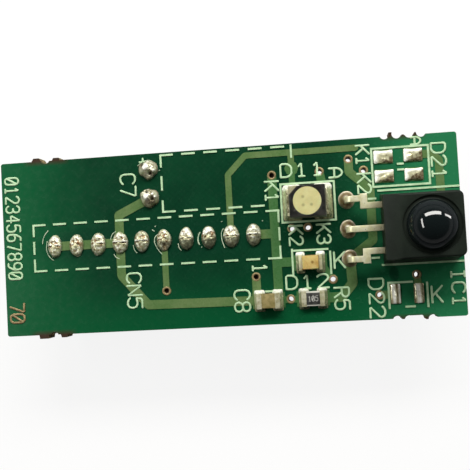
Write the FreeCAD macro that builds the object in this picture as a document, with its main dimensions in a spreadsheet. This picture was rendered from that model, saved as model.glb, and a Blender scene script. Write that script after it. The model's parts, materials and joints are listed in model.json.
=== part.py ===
import FreeCAD, Part
import math
import os
import Sketcher

# A small circuit board that receives infrared remote control commands.
# Frame: X along the board, Y across it, Z up through its front face. The board is centred on the Z axis
# and the assembly stands on the mouth rim of the header on its back, at Z = 0.
os.makedirs("parts", exist_ok=True)
doc = FreeCAD.newDocument("remote_control_receiver")
sizes = doc.addObject("Spreadsheet::Sheet", "sizes")

driving_sizes = (
    # board
    ("board_length", 40.6, "board, along X"),
    ("board_width", 15.7, "board, along Y, between the routed edges"),
    ("board_thick", 1.6, "laminate"),
    ("board_corner", 0.22, "corner radius"),
    ("stub_reach", 0.33, "longest torn stub beyond the routed edge"),
    ("tab_drill", 0.8, "perforation holes of the panel tabs, diameter"),
    ("tab_line", 0.16, "perforation hole centres beyond the routed edge"),
    ("web_break", 0.23, "deepest break of a tab web inside the routed edge"),
    ("grid", 0.1, "layout grid: tracks, vias and print are placed in steps of it"),
    ("copper_thick", 0.05, "track with the mask over it"),
    ("ink_thick", 0.03, "silkscreen ink over the tracks"),
    ("ink_line", 0.17, "silkscreen line width"),
    ("dash_length", 1.05, "dashes of the back side outlines"),
    ("via_bore", 0.45, "open hole of a via"),
    ("via_wall", 0.06, "plating in the hole"),
    ("via_ring", 0.8, "ring, outside diameter"),
    # header on the back
    ("header_height", 6.0, "moulding, from the board's back face to the mouth rim"),
    ("header_length", 21.9, "moulding, along X"),
    ("header_width", 4.4, "moulding, along Y"),
    ("header_wall", 0.65, "moulding wall"),
    ("header_floor", 1.7, "moulding floor, next to the board"),
    ("key_width", 1.6, "polarising slots in the long wall"),
    ("key_depth", 3.6, "polarising slots, from the rim"),
    ("header_relief", 0.25, "relief of the moulding over its pads"),
    ("header_foot", 1.2, "end feet that stand on the tracks' level, along X"),
    ("pin_count", 10, "pins"),
    ("pin_pitch", 2.0, "pins, centre to centre"),
    ("pin_first", -15.5, "X of the last pin, at the left end"),
    ("pin_row", 0.05, "Y of the pin row"),
    ("pin_size", 0.5, "square pin"),
    ("pin_point", 0.15, "chamfer at both pin ends"),
    ("pin_recess", 1.3, "pin end below the rim"),
    ("pin_rise", 0.5, "pin end above the front face"),
    ("pin_drill", 0.85, "hole for a pin"),
    ("mound_length", 1.95, "header solder mound, along Y"),
    ("mound_width", 1.15, "header solder mound, along X"),
    ("mound_rise", 0.8, "header solder mound, above its pad"),
    # electrolytic capacitor lying on the back
    ("can_length", 11.0, "capacitor, without leads"),
    ("can_bore", 4.7, "aluminium can, inside diameter"),
    ("can_wall", 0.15, "aluminium can wall"),
    ("sleeve_wall", 0.1, "plastic sleeve wall"),
    ("bung_length", 1.5, "rubber bung"),
    ("crimp_place", 1.1, "rolled groove, from the bung's face"),
    ("crimp_depth", 0.3, "rolled groove"),
    ("can_start", -5.3, "X of the bung's face"),
    ("can_clear", 0.25, "sleeve to the header's long wall"),
    ("can_gap", 0.1, "sleeve to the back copper"),
    ("wire_size", 0.5, "capacitor lead, diameter"),
    ("wire_spread", 2.5, "capacitor leads, centre to centre at the board"),
    ("wire_exit", 2.0, "capacitor leads, centre to centre at the bung"),
    ("wire_hole_place", -6.6, "X of the capacitor's holes"),
    ("wire_drill", 0.8, "hole for a capacitor lead"),
    ("wire_rise", 0.45, "lead end above the front face"),
    ("blob_size", 1.45, "capacitor solder joint, diameter"),
    ("blob_rise", 0.85, "capacitor solder joint, above its pad"),
    # three-colour LED
    ("rgb_place_x", 7.35, "three-colour LED centre"),
    ("rgb_place_y", 2.6, "three-colour LED centre"),
    ("rgb_length", 3.2, "housing, along X at its parting line"),
    ("rgb_width", 2.8, "housing, along Y at its parting line"),
    ("rgb_height", 1.9, "above the pads"),
    ("rgb_parting", 0.85, "parting line above the pads"),
    ("rgb_draft", 4.0, "degrees"),
    ("rgb_key", 0.55, "cut corner"),
    ("cup_mouth", 2.4, "reflector cup, diameter at the face"),
    ("cup_floor", 1.7, "reflector cup, diameter at its floor"),
    ("cup_depth", 0.85, "reflector cup"),
    ("leg_thick", 0.15, "terminal strip"),
    ("leg_width", 0.75, "terminal strip"),
    ("leg_pitch", 1.6, "terminals of one side, centre to centre"),
    ("leg_foot", 0.7, "terminal foot under the housing"),
    ("leg_root", 0.35, "terminal root inside the housing"),
    ("rgb_die", 0.3, "die, square"),
    ("die_thick", 0.12, "die"),
    # chip parts, one moulding size for all three
    ("chip_length", 2.0, "chip, along X"),
    ("chip_width", 1.25, "chip, along Y"),
    ("cap_wall", 0.05, "end cap metal"),
    ("cap_band", 0.42, "end cap, along X"),
    ("fillet_reach", 0.42, "solder fillet beyond a terminal"),
    ("fillet_foot", 0.06, "solder fillet thickness at its toe"),
    ("chip_led_x", 7.3, "chip LED centre"),
    ("chip_led_y", -2.62, "chip LED centre"),
    ("chip_led_base", 0.35, "chip LED substrate"),
    ("chip_led_lens", 0.6, "chip LED lens above its substrate"),
    ("led_band", 0.26, "chip LED end cap, along X"),
    ("lens_draft", 6.0, "degrees"),
    ("capacitor_x", 3.5, "chip capacitor centre"),
    ("capacitor_y", -5.75, "chip capacitor centre"),
    ("capacitor_height", 0.85, "chip capacitor"),
    ("resistor_x", 7.35, "chip resistor centre"),
    ("resistor_y", -5.75, "chip resistor centre"),
    ("resistor_height", 0.45, "chip resistor"),
    ("coat_thick", 0.04, "resistor's black coat"),
    ("coat_margin", 0.12, "resistor's coat, in from the long edges"),
    # infrared receiver
    ("receiver_start", 13.55, "X of the moulding's lead side"),
    ("receiver_row", -0.12, "Y of the moulding's centre"),
    ("receiver_length", 6.4, "moulding, along X"),
    ("receiver_width", 5.96, "moulding at its back, along Y"),
    ("receiver_thick", 3.7, "moulding, from its back to its front face"),
    ("receiver_slope", 1.35, "sloped lead end of the front face, along X"),
    ("receiver_drop", 0.45, "sloped lead end, down from the front face"),
    ("receiver_draft", 0.32, "lean of each long side from back to front face"),
    ("receiver_corner", 0.5, "corner radius at the free end"),
    ("receiver_edge", 0.1, "front face chamfer"),
    ("dome_inset", 2.6, "dome centre from the free end"),
    ("dome_size", 4.2, "dome, diameter"),
    ("dome_rise", 1.65, "dome above the front face"),
    ("moat_width", 0.3, "groove round the dome"),
    ("moat_depth", 0.2, "groove round the dome"),
    ("lead_level", 1.55, "lead's underside above the moulding's back"),
    ("lead_thick", 0.42, "receiver lead"),
    ("lead_width", 0.52, "receiver lead"),
    ("lead_exit_pitch", 1.92, "receiver leads at the moulding"),
    ("lead_hole_pitch", 2.54, "receiver leads at the board"),
    ("lead_hole_x", 10.7, "X of the receiver's holes"),
    ("lead_hole_y", 0.05, "Y of the receiver's middle hole"),
    ("lead_shift", -0.1, "receiver leads off the middle of their holes, along Y"),
    ("lead_drill", 1.0, "hole for a receiver lead"),
    ("lead_tail", 0.9, "lead end beyond the back face"),
    ("lead_bend", 0.6, "lead bend, outside radius"),
    ("jog_start", 1.05, "tie bar stub from the hole, along X"),
    ("jog_length", 0.62, "tie bar stub, along X"),
    ("jog_margin", 0.14, "tie bar stub beyond the lead, along Y"),
    ("lead_anchor", 0.9, "lead root inside the moulding"),
    ("paddle_length", 3.9, "paddle of the middle lead inside the moulding"),
    ("paddle_width", 2.6, "paddle of the middle lead inside the moulding"),
    ("photodiode_size", 1.8, "photodiode die, square"),
    ("amplifier_size", 1.1, "amplifier die, square"),
    ("wafer_thick", 0.3, "photodiode and amplifier dice"),
    ("cone_size", 1.5, "receiver solder joint, diameter at its pad"),
    ("cone_rise", 0.95, "receiver solder joint, above its pad"),
    ("cone_back", 0.35, "receiver solder joint on the back"),
    # spare pads
    ("tin_rise", 0.16, "tinning on the spare pads"),
)
for row, (alias, number, note) in enumerate(driving_sizes, start=1):
    sizes.set(f"A{row}", note)
    sizes.set(f"B{row}", str(number))
    sizes.setAlias(f"B{row}", alias)
doc.recompute()

back_face = "sizes.header_height"
front_face = "(sizes.header_height + sizes.board_thick)"
pad_face = "(sizes.header_height + sizes.board_thick + sizes.copper_thick)"

parts = {}


def value(expression):
    return float(sizes.evalExpression(expression))


def keep(node, item):
    """Label an object and list it as one of the pieces that are written out."""
    item.Label = node
    parts[node] = item
    return item


# Helpers for sketches and features

def new_body(name, x="0", y="0", z="0"):
    body = doc.addObject("PartDesign::Body", name)
    for axis, expression in (("x", x), ("y", y), ("z", z)):
        body.setExpression(f"Placement.Base.{axis}", expression)
    return body


def sketch_on(body, role, lift="0"):
    """A sketch on one of the body's own origin planes, moved along its normal by lift."""
    sketch = body.newObject("Sketcher::SketchObject", f"{body.Name}_sketch")
    plane = next(item for item in body.Origin.OriginFeatures if item.Role == role)
    sketch.AttachmentSupport = [(plane, "")]
    sketch.MapMode = "FlatFace"
    sketch.setExpression("AttachmentOffset.Base.z", lift)
    return sketch


def tie(sketch, kind, geometry, vertex, expression):
    """Hold a vertex of the sketch at a distance from its origin."""
    index = sketch.addConstraint(Sketcher.Constraint(kind, -1, 1, geometry, vertex, value(expression)))
    name = f"{kind}_{geometry}_{vertex}"
    sketch.renameConstraint(index, name)
    sketch.setExpression(f".Constraints.{name}", expression)


def outline(sketch, corners):
    """Closed outline of straight lines through corners given as pairs of expressions."""
    first = sketch.GeometryCount
    places = [FreeCAD.Vector(value(across), value(up), 0) for across, up in corners]
    for start, end in zip(places, places[1:] + places[:1]):
        sketch.addGeometry(Part.LineSegment(start, end))
    for index, (across, up) in enumerate(corners):
        following = (index + 1) % len(corners)
        sketch.addConstraint(Sketcher.Constraint("Coincident", first + index, 2, first + following, 1))
        tie(sketch, "DistanceX", first + index, 1, across)
        tie(sketch, "DistanceY", first + index, 1, up)


def rectangle(sketch, wide, tall, x="0", y="0"):
    left, right = f"{x} - {wide} / 2", f"{x} + {wide} / 2"
    low, high = f"{y} - {tall} / 2", f"{y} + {tall} / 2"
    outline(sketch, ((left, low), (right, low), (right, high), (left, high)))


def circle(sketch, diameter, x="0", y="0"):
    centre = FreeCAD.Vector(value(x), value(y), 0)
    index = sketch.addGeometry(Part.Circle(centre, FreeCAD.Vector(0, 0, 1), value(diameter) / 2))
    tie(sketch, "DistanceX", index, 3, x)
    tie(sketch, "DistanceY", index, 3, y)
    bound = sketch.addConstraint(Sketcher.Constraint("Diameter", index, value(diameter)))
    sketch.renameConstraint(bound, f"diameter_{index}")
    sketch.setExpression(f".Constraints.diameter_{index}", diameter)


def pad(body, sketch, length, midplane=False, reverse=False, taper=None):
    feature = body.newObject("PartDesign::Pad", f"{body.Name}_pad")
    feature.Profile = sketch
    feature.Midplane = midplane
    feature.Reversed = reverse
    feature.setExpression("Length", length)
    if taper:
        feature.setExpression("TaperAngle", taper)
    return feature


def pocket(body, sketch, length, midplane=False, reverse=False):
    """Cut a sketch out of the body, and make sure that it took something away."""
    doc.recompute()
    before = body.Shape.Volume
    feature = body.newObject("PartDesign::Pocket", f"{body.Name}_pocket")
    feature.Profile = sketch
    feature.Midplane = midplane
    feature.Reversed = reverse
    feature.setExpression("Length", length)
    doc.recompute()
    if body.Shape.Volume >= before:
        raise RuntimeError(f"{feature.Name} cuts nothing")
    return feature


def revolve(body, sketch, kind="Revolution"):
    feature = body.newObject(f"PartDesign::{kind}", f"{body.Name}_{kind.lower()}")
    feature.Profile = sketch
    feature.ReferenceAxis = (sketch, ["V_Axis"])
    feature.Angle = 360
    return feature


def dress(body, kind, chosen, size_name, size):
    """Fillet or chamfer the edges of the body's last feature that a test picks."""
    doc.recompute()
    base = body.Tip
    names = [f"Edge{number}" for number, edge in enumerate(base.Shape.Edges, start=1) if chosen(edge)]
    feature = body.newObject(f"PartDesign::{kind}", f"{body.Name}_{kind.lower()}")
    feature.Base = (base, names)
    feature.setExpression(size_name, size)
    return feature


def runs_along(edge, axis):
    """True for a straight edge parallel to the axis."""
    if edge.Curve.TypeId != "Part::GeomLine":
        return False
    return abs(abs(edge.Curve.Direction.dot(axis)) - 1) < 1e-6


y_axis = FreeCAD.Vector(0, 1, 0)
z_axis = FreeCAD.Vector(0, 0, 1)


def feature_from(name, shape):
    """A piece whose shape comes straight from boolean operations on other pieces."""
    item = doc.addObject("Part::Feature", name)
    item.Shape = shape
    return item


def at_places(shape, places):
    """Copies of a shape at the given places, as separate solids."""
    copies = []
    for x, y in places:
        copy = shape.copy()
        copy.translate(FreeCAD.Vector(x, y, 0))
        copies.append(copy)
    return Part.makeCompound(copies)


def minus(shape, *cutters):
    """The solids of a shape, each less the cutters that reach it."""
    tools = [solid for cutter in cutters for solid in cutter.Solids]
    left = []
    for solid in shape.Solids:
        near = [tool for tool in tools if tool.BoundBox.intersect(solid.BoundBox)]
        left += solid.cut(near).Solids if near else [solid]
    return Part.makeCompound(left)


def faceted(profile, x, y, stretch=1.0, sides=8):
    """A solid turned about a vertical line in flat facets, from radii and levels along its section.

    A section that ends where it starts makes a tube. Stretch makes it oval along Y."""
    turns = [2 * math.pi * (number + 0.5) / sides for number in range(sides)]
    rings = []
    for radius, level in profile:
        rings.append([FreeCAD.Vector(x + radius * math.cos(turn),
                                     y + stretch * radius * math.sin(turn), level) for turn in turns])
    faces = []
    for lower, upper in zip(rings, rings[1:]):
        for number in range(sides):
            following = (number + 1) % sides
            corners = [lower[number], lower[following], upper[following], upper[number], lower[number]]
            faces.append(Part.Face(Part.makePolygon(corners)))
    if profile[0] != profile[-1]:
        faces += [Part.Face(Part.makePolygon(ring + ring[:1])) for ring in (rings[0], rings[-1])]
    solid = Part.Solid(Part.Shell(faces))
    if solid.Volume < 0:
        solid.reverse()
    return solid


def drill_bits(diameter, places, base, thick):
    """Solids to take out where round holes go."""
    radius = value(diameter) / 2
    return [faceted(((radius, base), (radius, base + thick)), x, y) for x, y in places]


# Places that several pieces share

pin_places = [
    (value("pin_first") + number * value("pin_pitch"), value("pin_row"))
    for number in range(round(value("pin_count")))
]
can_row = "(sizes.pin_row + sizes.header_width / 2 + sizes.can_clear + sizes.can_bore / 2" \
          " + sizes.can_wall + sizes.sleeve_wall)"
wire_places = [
    (value("wire_hole_place"), value(can_row) + side * value("wire_spread") / 2)
    for side in (1, -1)
]
lead_places = [
    (value("lead_hole_x"), value("lead_hole_y") + side * value("lead_hole_pitch"))
    for side in (1, 0, -1)
]
step = value("grid")
via_places = [(x * step, y * step) for x, y in (
    (43.5, 51.5), (-55, -44.5), (25, -36.5), (110.5, 61), (123, 50.5), (85, 52),
    (58.5, 4), (72.5, 4.2), (54.2, -57.2), (91.5, -42), (162.5, -41.5), (130.5, -57.5),
)]


# Board

def make_board():
    """The laminate: routed outline, torn tab stubs, perforation halves and drilled holes."""
    body = new_body("board_blank", z=back_face)
    plate_outline = sketch_on(body, "XY_Plane")
    rectangle(plate_outline, "sizes.board_length", "sizes.board_width")
    pad(body, plate_outline, "sizes.board_thick")
    dress(body, "Fillet", lambda edge: runs_along(edge, z_axis), "Radius", "sizes.board_corner")
    add_tab_remains(body)
    low, thick = value(back_face), value("board_thick")
    bits = drill_bits("pin_drill", pin_places, low, thick) + drill_bits("wire_drill", wire_places, low, thick)
    bits += drill_bits("lead_drill", lead_places, low, thick)
    bits += drill_bits("via_bore + 2 * via_wall", via_places, low, thick)
    drilled = doc.addObject("Part::Cut", "drilled_board")
    drilled.Base = body
    drilled.Tool = feature_from("drill_set", Part.makeCompound(bits))
    doc.recompute()
    return keep("board", drilled)


# Each tab: the edge it stood on, its perforation holes in grid steps along X, its torn stubs as centre and
# widths at foot and tip in grid steps with the share of the longest stub that is left, and the webs that
# broke off inside the edge as centre and width.
tabs = (
    (1, (-161,), ((-169.5, 13, 5, 0.9), (-151, 11, 5, 0.7)), ()),
    (-1, (-159.5,), ((-169, 10, 8, 1.0), (-150.5, 8, 4.5, 0.85)), ()),
    (1, (142.3, 152.7, 163.5, 173.5),
     ((147.5, 6, 2.6, 1.0), (158.1, 6, 1.8, 0.2), (168.6, 6, 0.7, 0.65)), ()),
    (-1, (144, 154, 164, 174), ((149.2, 6, 2.2, 0.15), (169, 6, 1.6, 0.45)), ((159, 8),)),
)


def add_tab_remains(body):
    stubs = sketch_on(body, "XY_Plane")
    notches = sketch_on(body, "XY_Plane")
    breaks = sketch_on(body, "XY_Plane")
    edge = "sizes.board_width / 2"
    for side, holes, torn, broken in tabs:
        for centre, foot, tip, share in torn:
            root = f"{side} * ({edge} - 3 * sizes.grid)"
            end = f"{side} * ({edge} + {share} * sizes.stub_reach)"
            corners = [(-foot, root), (foot, root), (tip, end), (-tip, end)]
            outline(stubs, [(f"({centre} + {offset / 2}) * sizes.grid", y) for offset, y in corners])
        for centre in holes:
            circle(notches, "sizes.tab_drill", f"{centre} * sizes.grid",
                   f"{side} * ({edge} + sizes.tab_line)")
        for centre, width in broken:
            rectangle(breaks, f"{width} * sizes.grid", "2 * sizes.web_break", f"{centre} * sizes.grid",
                      f"{side} * {edge}")
    pad(body, stubs, "sizes.board_thick")
    pocket(body, notches, "sizes.board_thick", reverse=True)
    pocket(body, breaks, "sizes.board_thick", reverse=True)


# Copper and print

def track(points, width, base, thick):
    """Flat bars of the given width along the points, each with rounded ends."""
    bars = []
    for start, end in zip(points, points[1:]):
        heading = math.atan2(end[1] - start[1], end[0] - start[0])
        corners = []
        for (x, y), first in ((start, heading + math.pi / 2), (end, heading - math.pi / 2)):
            for turn in (first + math.pi * part / 4 for part in range(5)):
                corners.append(FreeCAD.Vector(x + width / 2 * math.cos(turn),
                                              y + width / 2 * math.sin(turn), base))
        face = Part.Face(Part.makePolygon(corners + corners[:1]))
        bars.append(face.extrude(FreeCAD.Vector(0, 0, thick)))
    return bars


def plate(x, y, wide, tall, base, thick):
    return Part.makeBox(wide, tall, thick, FreeCAD.Vector(x - wide / 2, y - tall / 2, base))


# Tracks as width and points, in grid steps. A name stands for a hole that the track runs to.
front_tracks = (
    (8, ((-155, 0.5), (-95, 0.5))),
    (8, ("minus wire", (-95, 25), (-95, -29), (-72, -56), (25, -57))),
    (5.5, ((5, 0.5), (5, 54.5), (21, 70.5), (117, 70.5))),
    (5.5, ((61, 70.5), (61, 33))),
    (12, ((61, 57), (61, 56))),
    (8, ((25, 0.5), (44, 0.5))),
    (8, ((43.5, 51.5), (44, -49), (44, -57))),
    (8, ((44, -25), (58, -25))),
    (5.5, ((-55, 0.5), (-55, -44.5))),
    (7.5, ((25, -36.5), (25, -57))),
    (7.5, ((110.5, 61), (110.5, 50), (127.5, 34), (127.5, -10), "last lead")),
    (8.5, ("last lead", (108, -46), (98, -57.5), (84, -57.5))),
    (7.5, ((85, 52), (88, 34))),
    (6, ((46, -57.5), (62, -57.5))),
    (5, ((91.5, -42), (84, -30))),
    (7, ((166, 61), (181, 61), (187, 55), (187, 15))),
    (7, ((130.5, -57.5), (143.5, -57.5))),
    (6, ((162.5, -41.5), (163.3, -57.5))),
)
back_tracks = (
    (8, ("plus wire", (-140, 63.5), (-155, 48), (-155, 0.5))),
    (5, ((-55, -44.5), (-42, -60), (42, -60), (54.2, -57.2))),
    (5, ((25, -36.5), (46, -36.5), (58.5, -24), (58.5, 4))),
    (5, ((85, 52), (78, 40), (72.5, 4.2))),
    (5, ((91.5, -42), (118, -42), (130.5, -57.5))),
    (5, ((162.5, -41.5), (176, -28), (176, 38), (163, 50.5), (123, 50.5))),
    (5, ((110.5, 61), (96, 70), (-40, 70), "plus wire")),
    (7, ("first lead", (96, 25.4), (96, 4), "middle lead")),
)

# Tinned pads with no part on them, as centre and size in grid steps
spare_pads = (
    (140.3, 61, 16.5, 12), (165.5, 61, 16, 12), (140.3, 44.3, 16.5, 11.5), (165.5, 44.3, 16, 11.5),
    (143.5, -57.2, 9, 17), (163.3, -57.5, 8.5, 17),
)


def route(points):
    named = {
        "plus wire": wire_places[0], "minus wire": wire_places[1],
        "first lead": lead_places[0], "middle lead": lead_places[1], "last lead": lead_places[2],
    }
    return [named[point] if isinstance(point, str) else (point[0] * step, point[1] * step)
            for point in points]


def land_places():
    """Pads under the surface mounted parts, as centre and size."""
    lands = []
    reach = value("fillet_reach")
    for chip in ("chip_led", "capacitor", "resistor"):
        wide = value("cap_band") + reach
        for side in (-1, 1):
            x = value(f"{chip}_x") + side * (value("chip_length") / 2 + reach - wide / 2)
            lands.append((x, value(f"{chip}_y"), wide, value("chip_width") + 2 * value("cap_wall")))
    wide = value("leg_foot") + value("leg_thick") + reach
    for side in (-1, 1):
        x = value("rgb_place_x") + side * (value("rgb_length") / 2 + value("leg_thick") + reach - wide / 2)
        for row in (-1, 1):
            lands.append((x, value("rgb_place_y") + row * value("leg_pitch") / 2, wide, value("leg_width")))
    return lands


def holes_through(base, thick):
    """Drilled holes and via rings, to be taken out of a copper layer."""
    cutters = []
    for places, diameter in (
        (pin_places, "pin_drill"), (wire_places, "wire_drill"), (lead_places, "lead_drill"),
        (via_places, "via_ring"),
    ):
        cutters += drill_bits(diameter, places, base, thick)
    return cutters


def round_pads(places, diameter, base, thick, stretch=1.0):
    radius = diameter / 2
    return [faceted(((radius, base), (radius, base + thick)), x, y, stretch) for x, y in places]


def copper_layer(node, shapes, base, thick):
    """Tracks and pads as one layer, less the holes and without the crumbs that a via ring leaves."""
    fused = shapes[0].multiFuse(shapes[1:]).removeSplitter()
    crumb = step ** 3
    left = [solid for solid in minus(fused, *holes_through(base, thick)).Solids if solid.Volume > crumb]
    return keep(node, feature_from(node, Part.makeCompound(left)))


def make_front_copper():
    base = value(front_face)
    thick = value("copper_thick")
    shapes = []
    for width, points in front_tracks:
        shapes += track(route(points), width * step, base, thick)
    for x, y, wide, tall in land_places():
        shapes.append(plate(x, y, wide, tall, base, thick))
    for x, y, wide, tall in spare_pads:
        shapes.append(plate(x * step, y * step, wide * step, tall * step, base, thick))
    shapes += round_pads(pin_places, value("mound_width"), base, thick, value("mound_length / mound_width"))
    shapes += round_pads(wire_places, value("blob_size"), base, thick)
    shapes += round_pads(lead_places, value("cone_size"), base, thick)
    return copper_layer("front_copper", shapes, base, thick)


def make_back_copper():
    thick = value("copper_thick")
    base = value(back_face) - thick
    shapes = []
    for width, points in back_tracks:
        shapes += track(route(points), width * step, base, thick)
    shapes += round_pads(wire_places, value("blob_size"), base, thick)
    shapes += round_pads(lead_places, value("cone_size"), base, thick)
    shapes += round_pads(pin_places, value("pin_drill") + 4 * step, base, thick)
    return copper_layer("back_copper", shapes, base, thick)


def make_via_barrels():
    """A plated tube with a ring on each face in every via hole."""
    low, high = value(back_face), value(front_face)
    plating = value("copper_thick")
    bore, tube, ring = value("via_bore") / 2, value("via_bore / 2 + via_wall"), value("via_ring") / 2
    section = ((bore, low - plating), (ring, low - plating), (ring, low), (tube, low), (tube, high),
               (ring, high), (ring, high + plating), (bore, high + plating), (bore, low - plating))
    barrels = [faceted(section, x, y) for x, y in via_places]
    return keep("via_barrels", feature_from("via_set", Part.makeCompound(barrels)))


def dash_row(start, count, pitch, level):
    """Dashes along X, in grid steps."""
    dash = value("dash_length") / step
    return [(start + number * pitch, level, start + number * pitch + dash, level) for number in range(count)]


def box_lines(left, low, right, high):
    return [(left, low, right, low), (right, low, right, high), (left, high, right, high),
            (left, low, left, high)]


def ink_lines():
    """Front print outlines as line ends, in grid steps."""
    lines = []
    for level in (20.5, -21):
        lines += dash_row(-174.5, 12, 19.25, level)
    for x in (-174.5, 47.5):
        lines += [(x, 20.5, x, 11), (x, 5, x, -5), (x, -11, x, -21)]
    lines += dash_row(-54.5, 6, 19.8, 76)
    lines += dash_row(-54.5, 5, 19.8, 25.5)
    lines += [(-54.5, 76, -54.5, 66), (-54.5, 56.5, -54.5, 45.5), (-54.5, 35, -54.5, 25.5)]
    lines += [(61.5, 76.5, 61.5, 66.5)]
    lines += box_lines(50.7, 9.5, 97, 43)
    lines += [(57.5, -14.5, 57.5, -36.5), (58.5, -15.5, 88, -15.5), (90.3, -18, 90.3, -36.5)]
    lines += [(33, -49.5, 39, -49.5)]
    lines += box_lines(130.5, 35.5, 178.5, 68.5)
    lines += [(152.5, 54, 156.5, 54), (152.5, 49, 156.5, 49)]
    lines += [(138, -47.5, 138, -69), (139.5, -47.5, 158, -47.5), (152, -68.5, 159, -68.5)]
    lines += [(170.5, -49, 170.5, -69)]
    for side in (1, -1):
        lines += [(134.5, side * 32, 202, side * 32), (126, side * 25.5, 131.5, side * 25.5)]
    return lines


def make_silkscreen(copper, vias):
    """Printed lines that lie on the board and step over the tracks."""
    half = value("ink_line") / 2
    thick = value("copper_thick") + value("ink_thick")
    bars = []
    for x, y, end_x, end_y in ink_lines():
        low_x, high_x = sorted((x * step, end_x * step))
        low_y, high_y = sorted((y * step, end_y * step))
        bars.append(Part.makeBox(high_x - low_x + 2 * half, high_y - low_y + 2 * half, thick,
                                 FreeCAD.Vector(low_x - half, low_y - half, value(front_face))))
    fused = bars[0].multiFuse(bars[1:]).removeSplitter()
    return keep("silkscreen", feature_from("print", minus(fused, copper.Shape, vias.Shape)))


# Header on the back

header_x = "(sizes.pin_first + (sizes.pin_count - 1) * sizes.pin_pitch / 2)"
header_top = "(sizes.header_height - sizes.copper_thick)"


def make_header():
    """The shrouded moulding, mouth down, with two key slots, end slots and feet level with the tracks."""
    body = new_body("header_shroud", x=header_x, y="sizes.pin_row")
    blank = sketch_on(body, "XY_Plane")
    rectangle(blank, "sizes.header_length", "sizes.header_width")
    pad(body, blank, header_top)
    cavity = sketch_on(body, "XY_Plane")
    inside_length = "(sizes.header_length - 2 * sizes.header_wall)"
    rectangle(cavity, inside_length, "(sizes.header_width - 2 * sizes.header_wall)")
    pocket(body, cavity, "sizes.header_height - sizes.header_floor", reverse=True)
    slots = sketch_on(body, "XY_Plane")
    wall_y = "(sizes.header_wall - sizes.header_width) / 2"
    for side in (-1, 1):
        key_x = f"{side} * ({inside_length} / 2 - 2 * sizes.key_width)"
        rectangle(slots, "sizes.key_width", "sizes.header_wall", key_x, wall_y)
        end_x = f"{side} * (sizes.header_length - sizes.header_wall) / 2"
        rectangle(slots, "sizes.header_wall", "sizes.key_width / 2", end_x)
    pocket(body, slots, "sizes.key_depth", reverse=True)
    relief = sketch_on(body, "XY_Plane", header_top)
    rectangle(relief, "(sizes.header_length - 2 * sizes.header_foot)", "sizes.header_width")
    pocket(body, relief, "sizes.header_relief")
    holes = sketch_on(body, "XY_Plane")
    for number in range(len(pin_places)):
        offset = f"({number} - (sizes.pin_count - 1) / 2) * sizes.pin_pitch"
        rectangle(holes, "sizes.pin_size", "sizes.pin_size", offset)
    pocket(body, holes, "sizes.header_height", reverse=True)
    return keep("header_shroud", body)


def make_pin(number):
    """A square pin, pointed at both ends."""
    body = new_body(f"header_pin_{number + 1}", x=f"sizes.pin_first + {number} * sizes.pin_pitch",
                    y="sizes.pin_row", z="sizes.pin_recess")
    section = sketch_on(body, "XY_Plane")
    rectangle(section, "sizes.pin_size", "sizes.pin_size")
    pad(body, section, f"{front_face} + sizes.pin_rise - sizes.pin_recess")
    dress(body, "Chamfer", lambda edge: not runs_along(edge, z_axis), "Size", "sizes.pin_point")
    return keep(body.Name, body)


def solder_mounds(node, width, length, rise, drill_size, places, cutters):
    """Oval domes over the pads, each with the solder that fills the hole round its pin."""
    base, low = value(pad_face), value(back_face)
    half = value(width) / 2
    dome = [(half * math.cos(turn), base + value(rise) * math.sin(turn))
            for turn in (math.pi / 2 * share for share in (0, 0.3, 0.62, 0.88))]
    hole = value(drill_size) / 2
    joints = []
    for x, y in places:
        mound = faceted(dome, x, y, value(length) / value(width))
        joints.append(mound.fuse(faceted(((hole, low), (hole, base)), x, y)).removeSplitter())
    return keep(node, feature_from(f"{node}_set", minus(Part.makeCompound(joints), *cutters)))


# Electrolytic capacitor lying on the back

can_axis = "(sizes.header_height - sizes.copper_thick - sizes.can_gap - sizes.can_bore / 2" \
           " - sizes.can_wall - sizes.sleeve_wall)"


def turned(node, corners):
    """A piece turned about the capacitor's axis, from corners given along the axis and as radius."""
    body = new_body(node, x="sizes.can_start", y=can_row, z=can_axis)
    sketch = sketch_on(body, "XZ_Plane")
    outline(sketch, corners)
    feature = revolve(body, sketch)
    feature.ReferenceAxis = (sketch, ["H_Axis"])
    return keep(node, body)


def crimped(radius, back=False):
    """Corners of a wall at the rolled groove, towards the closed end or back from it."""
    corners = [("sizes.crimp_place - sizes.crimp_depth", radius),
               ("sizes.crimp_place", f"{radius} - sizes.crimp_depth"),
               ("sizes.crimp_place + sizes.crimp_depth", radius)]
    return corners[::-1] if back else corners


def make_can():
    bore = "sizes.can_bore / 2"
    skin = "sizes.can_bore / 2 + sizes.can_wall"
    end = "sizes.can_length"
    corners = [("0", skin), *crimped(skin), (end, skin), (end, "0"), (f"{end} - sizes.can_wall", "0"),
               (f"{end} - sizes.can_wall", bore), *crimped(bore, back=True), ("0", bore)]
    return turned("capacitor_can", corners)


def make_sleeve():
    """Shrunk plastic tube that follows the groove and turns in over the closed end."""
    skin = "sizes.can_bore / 2 + sizes.can_wall"
    film = "sizes.can_bore / 2 + sizes.can_wall + sizes.sleeve_wall"
    end, over = "sizes.can_length", "sizes.can_length + sizes.sleeve_wall"
    lip = "sizes.can_bore / 2 - 4 * sizes.sleeve_wall"
    corners = [("0", film), *crimped(film), (over, film), (over, lip), (end, lip), (end, skin),
               *crimped(skin, back=True), ("0", skin)]
    return turned("capacitor_sleeve", corners)


def make_bung():
    bore = "sizes.can_bore / 2"
    corners = [("0", "0"), ("0", bore), *crimped(bore), ("sizes.bung_length", bore),
               ("sizes.bung_length", "0")]
    return turned("bung_blank", corners)


def make_winding():
    bore = "sizes.can_bore / 2 - sizes.can_wall"
    near, far = "sizes.bung_length + sizes.can_wall", "sizes.can_length - 2 * sizes.can_wall"
    return turned("capacitor_winding", [(near, "0"), (near, bore), (far, bore), (far, "0")])


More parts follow.
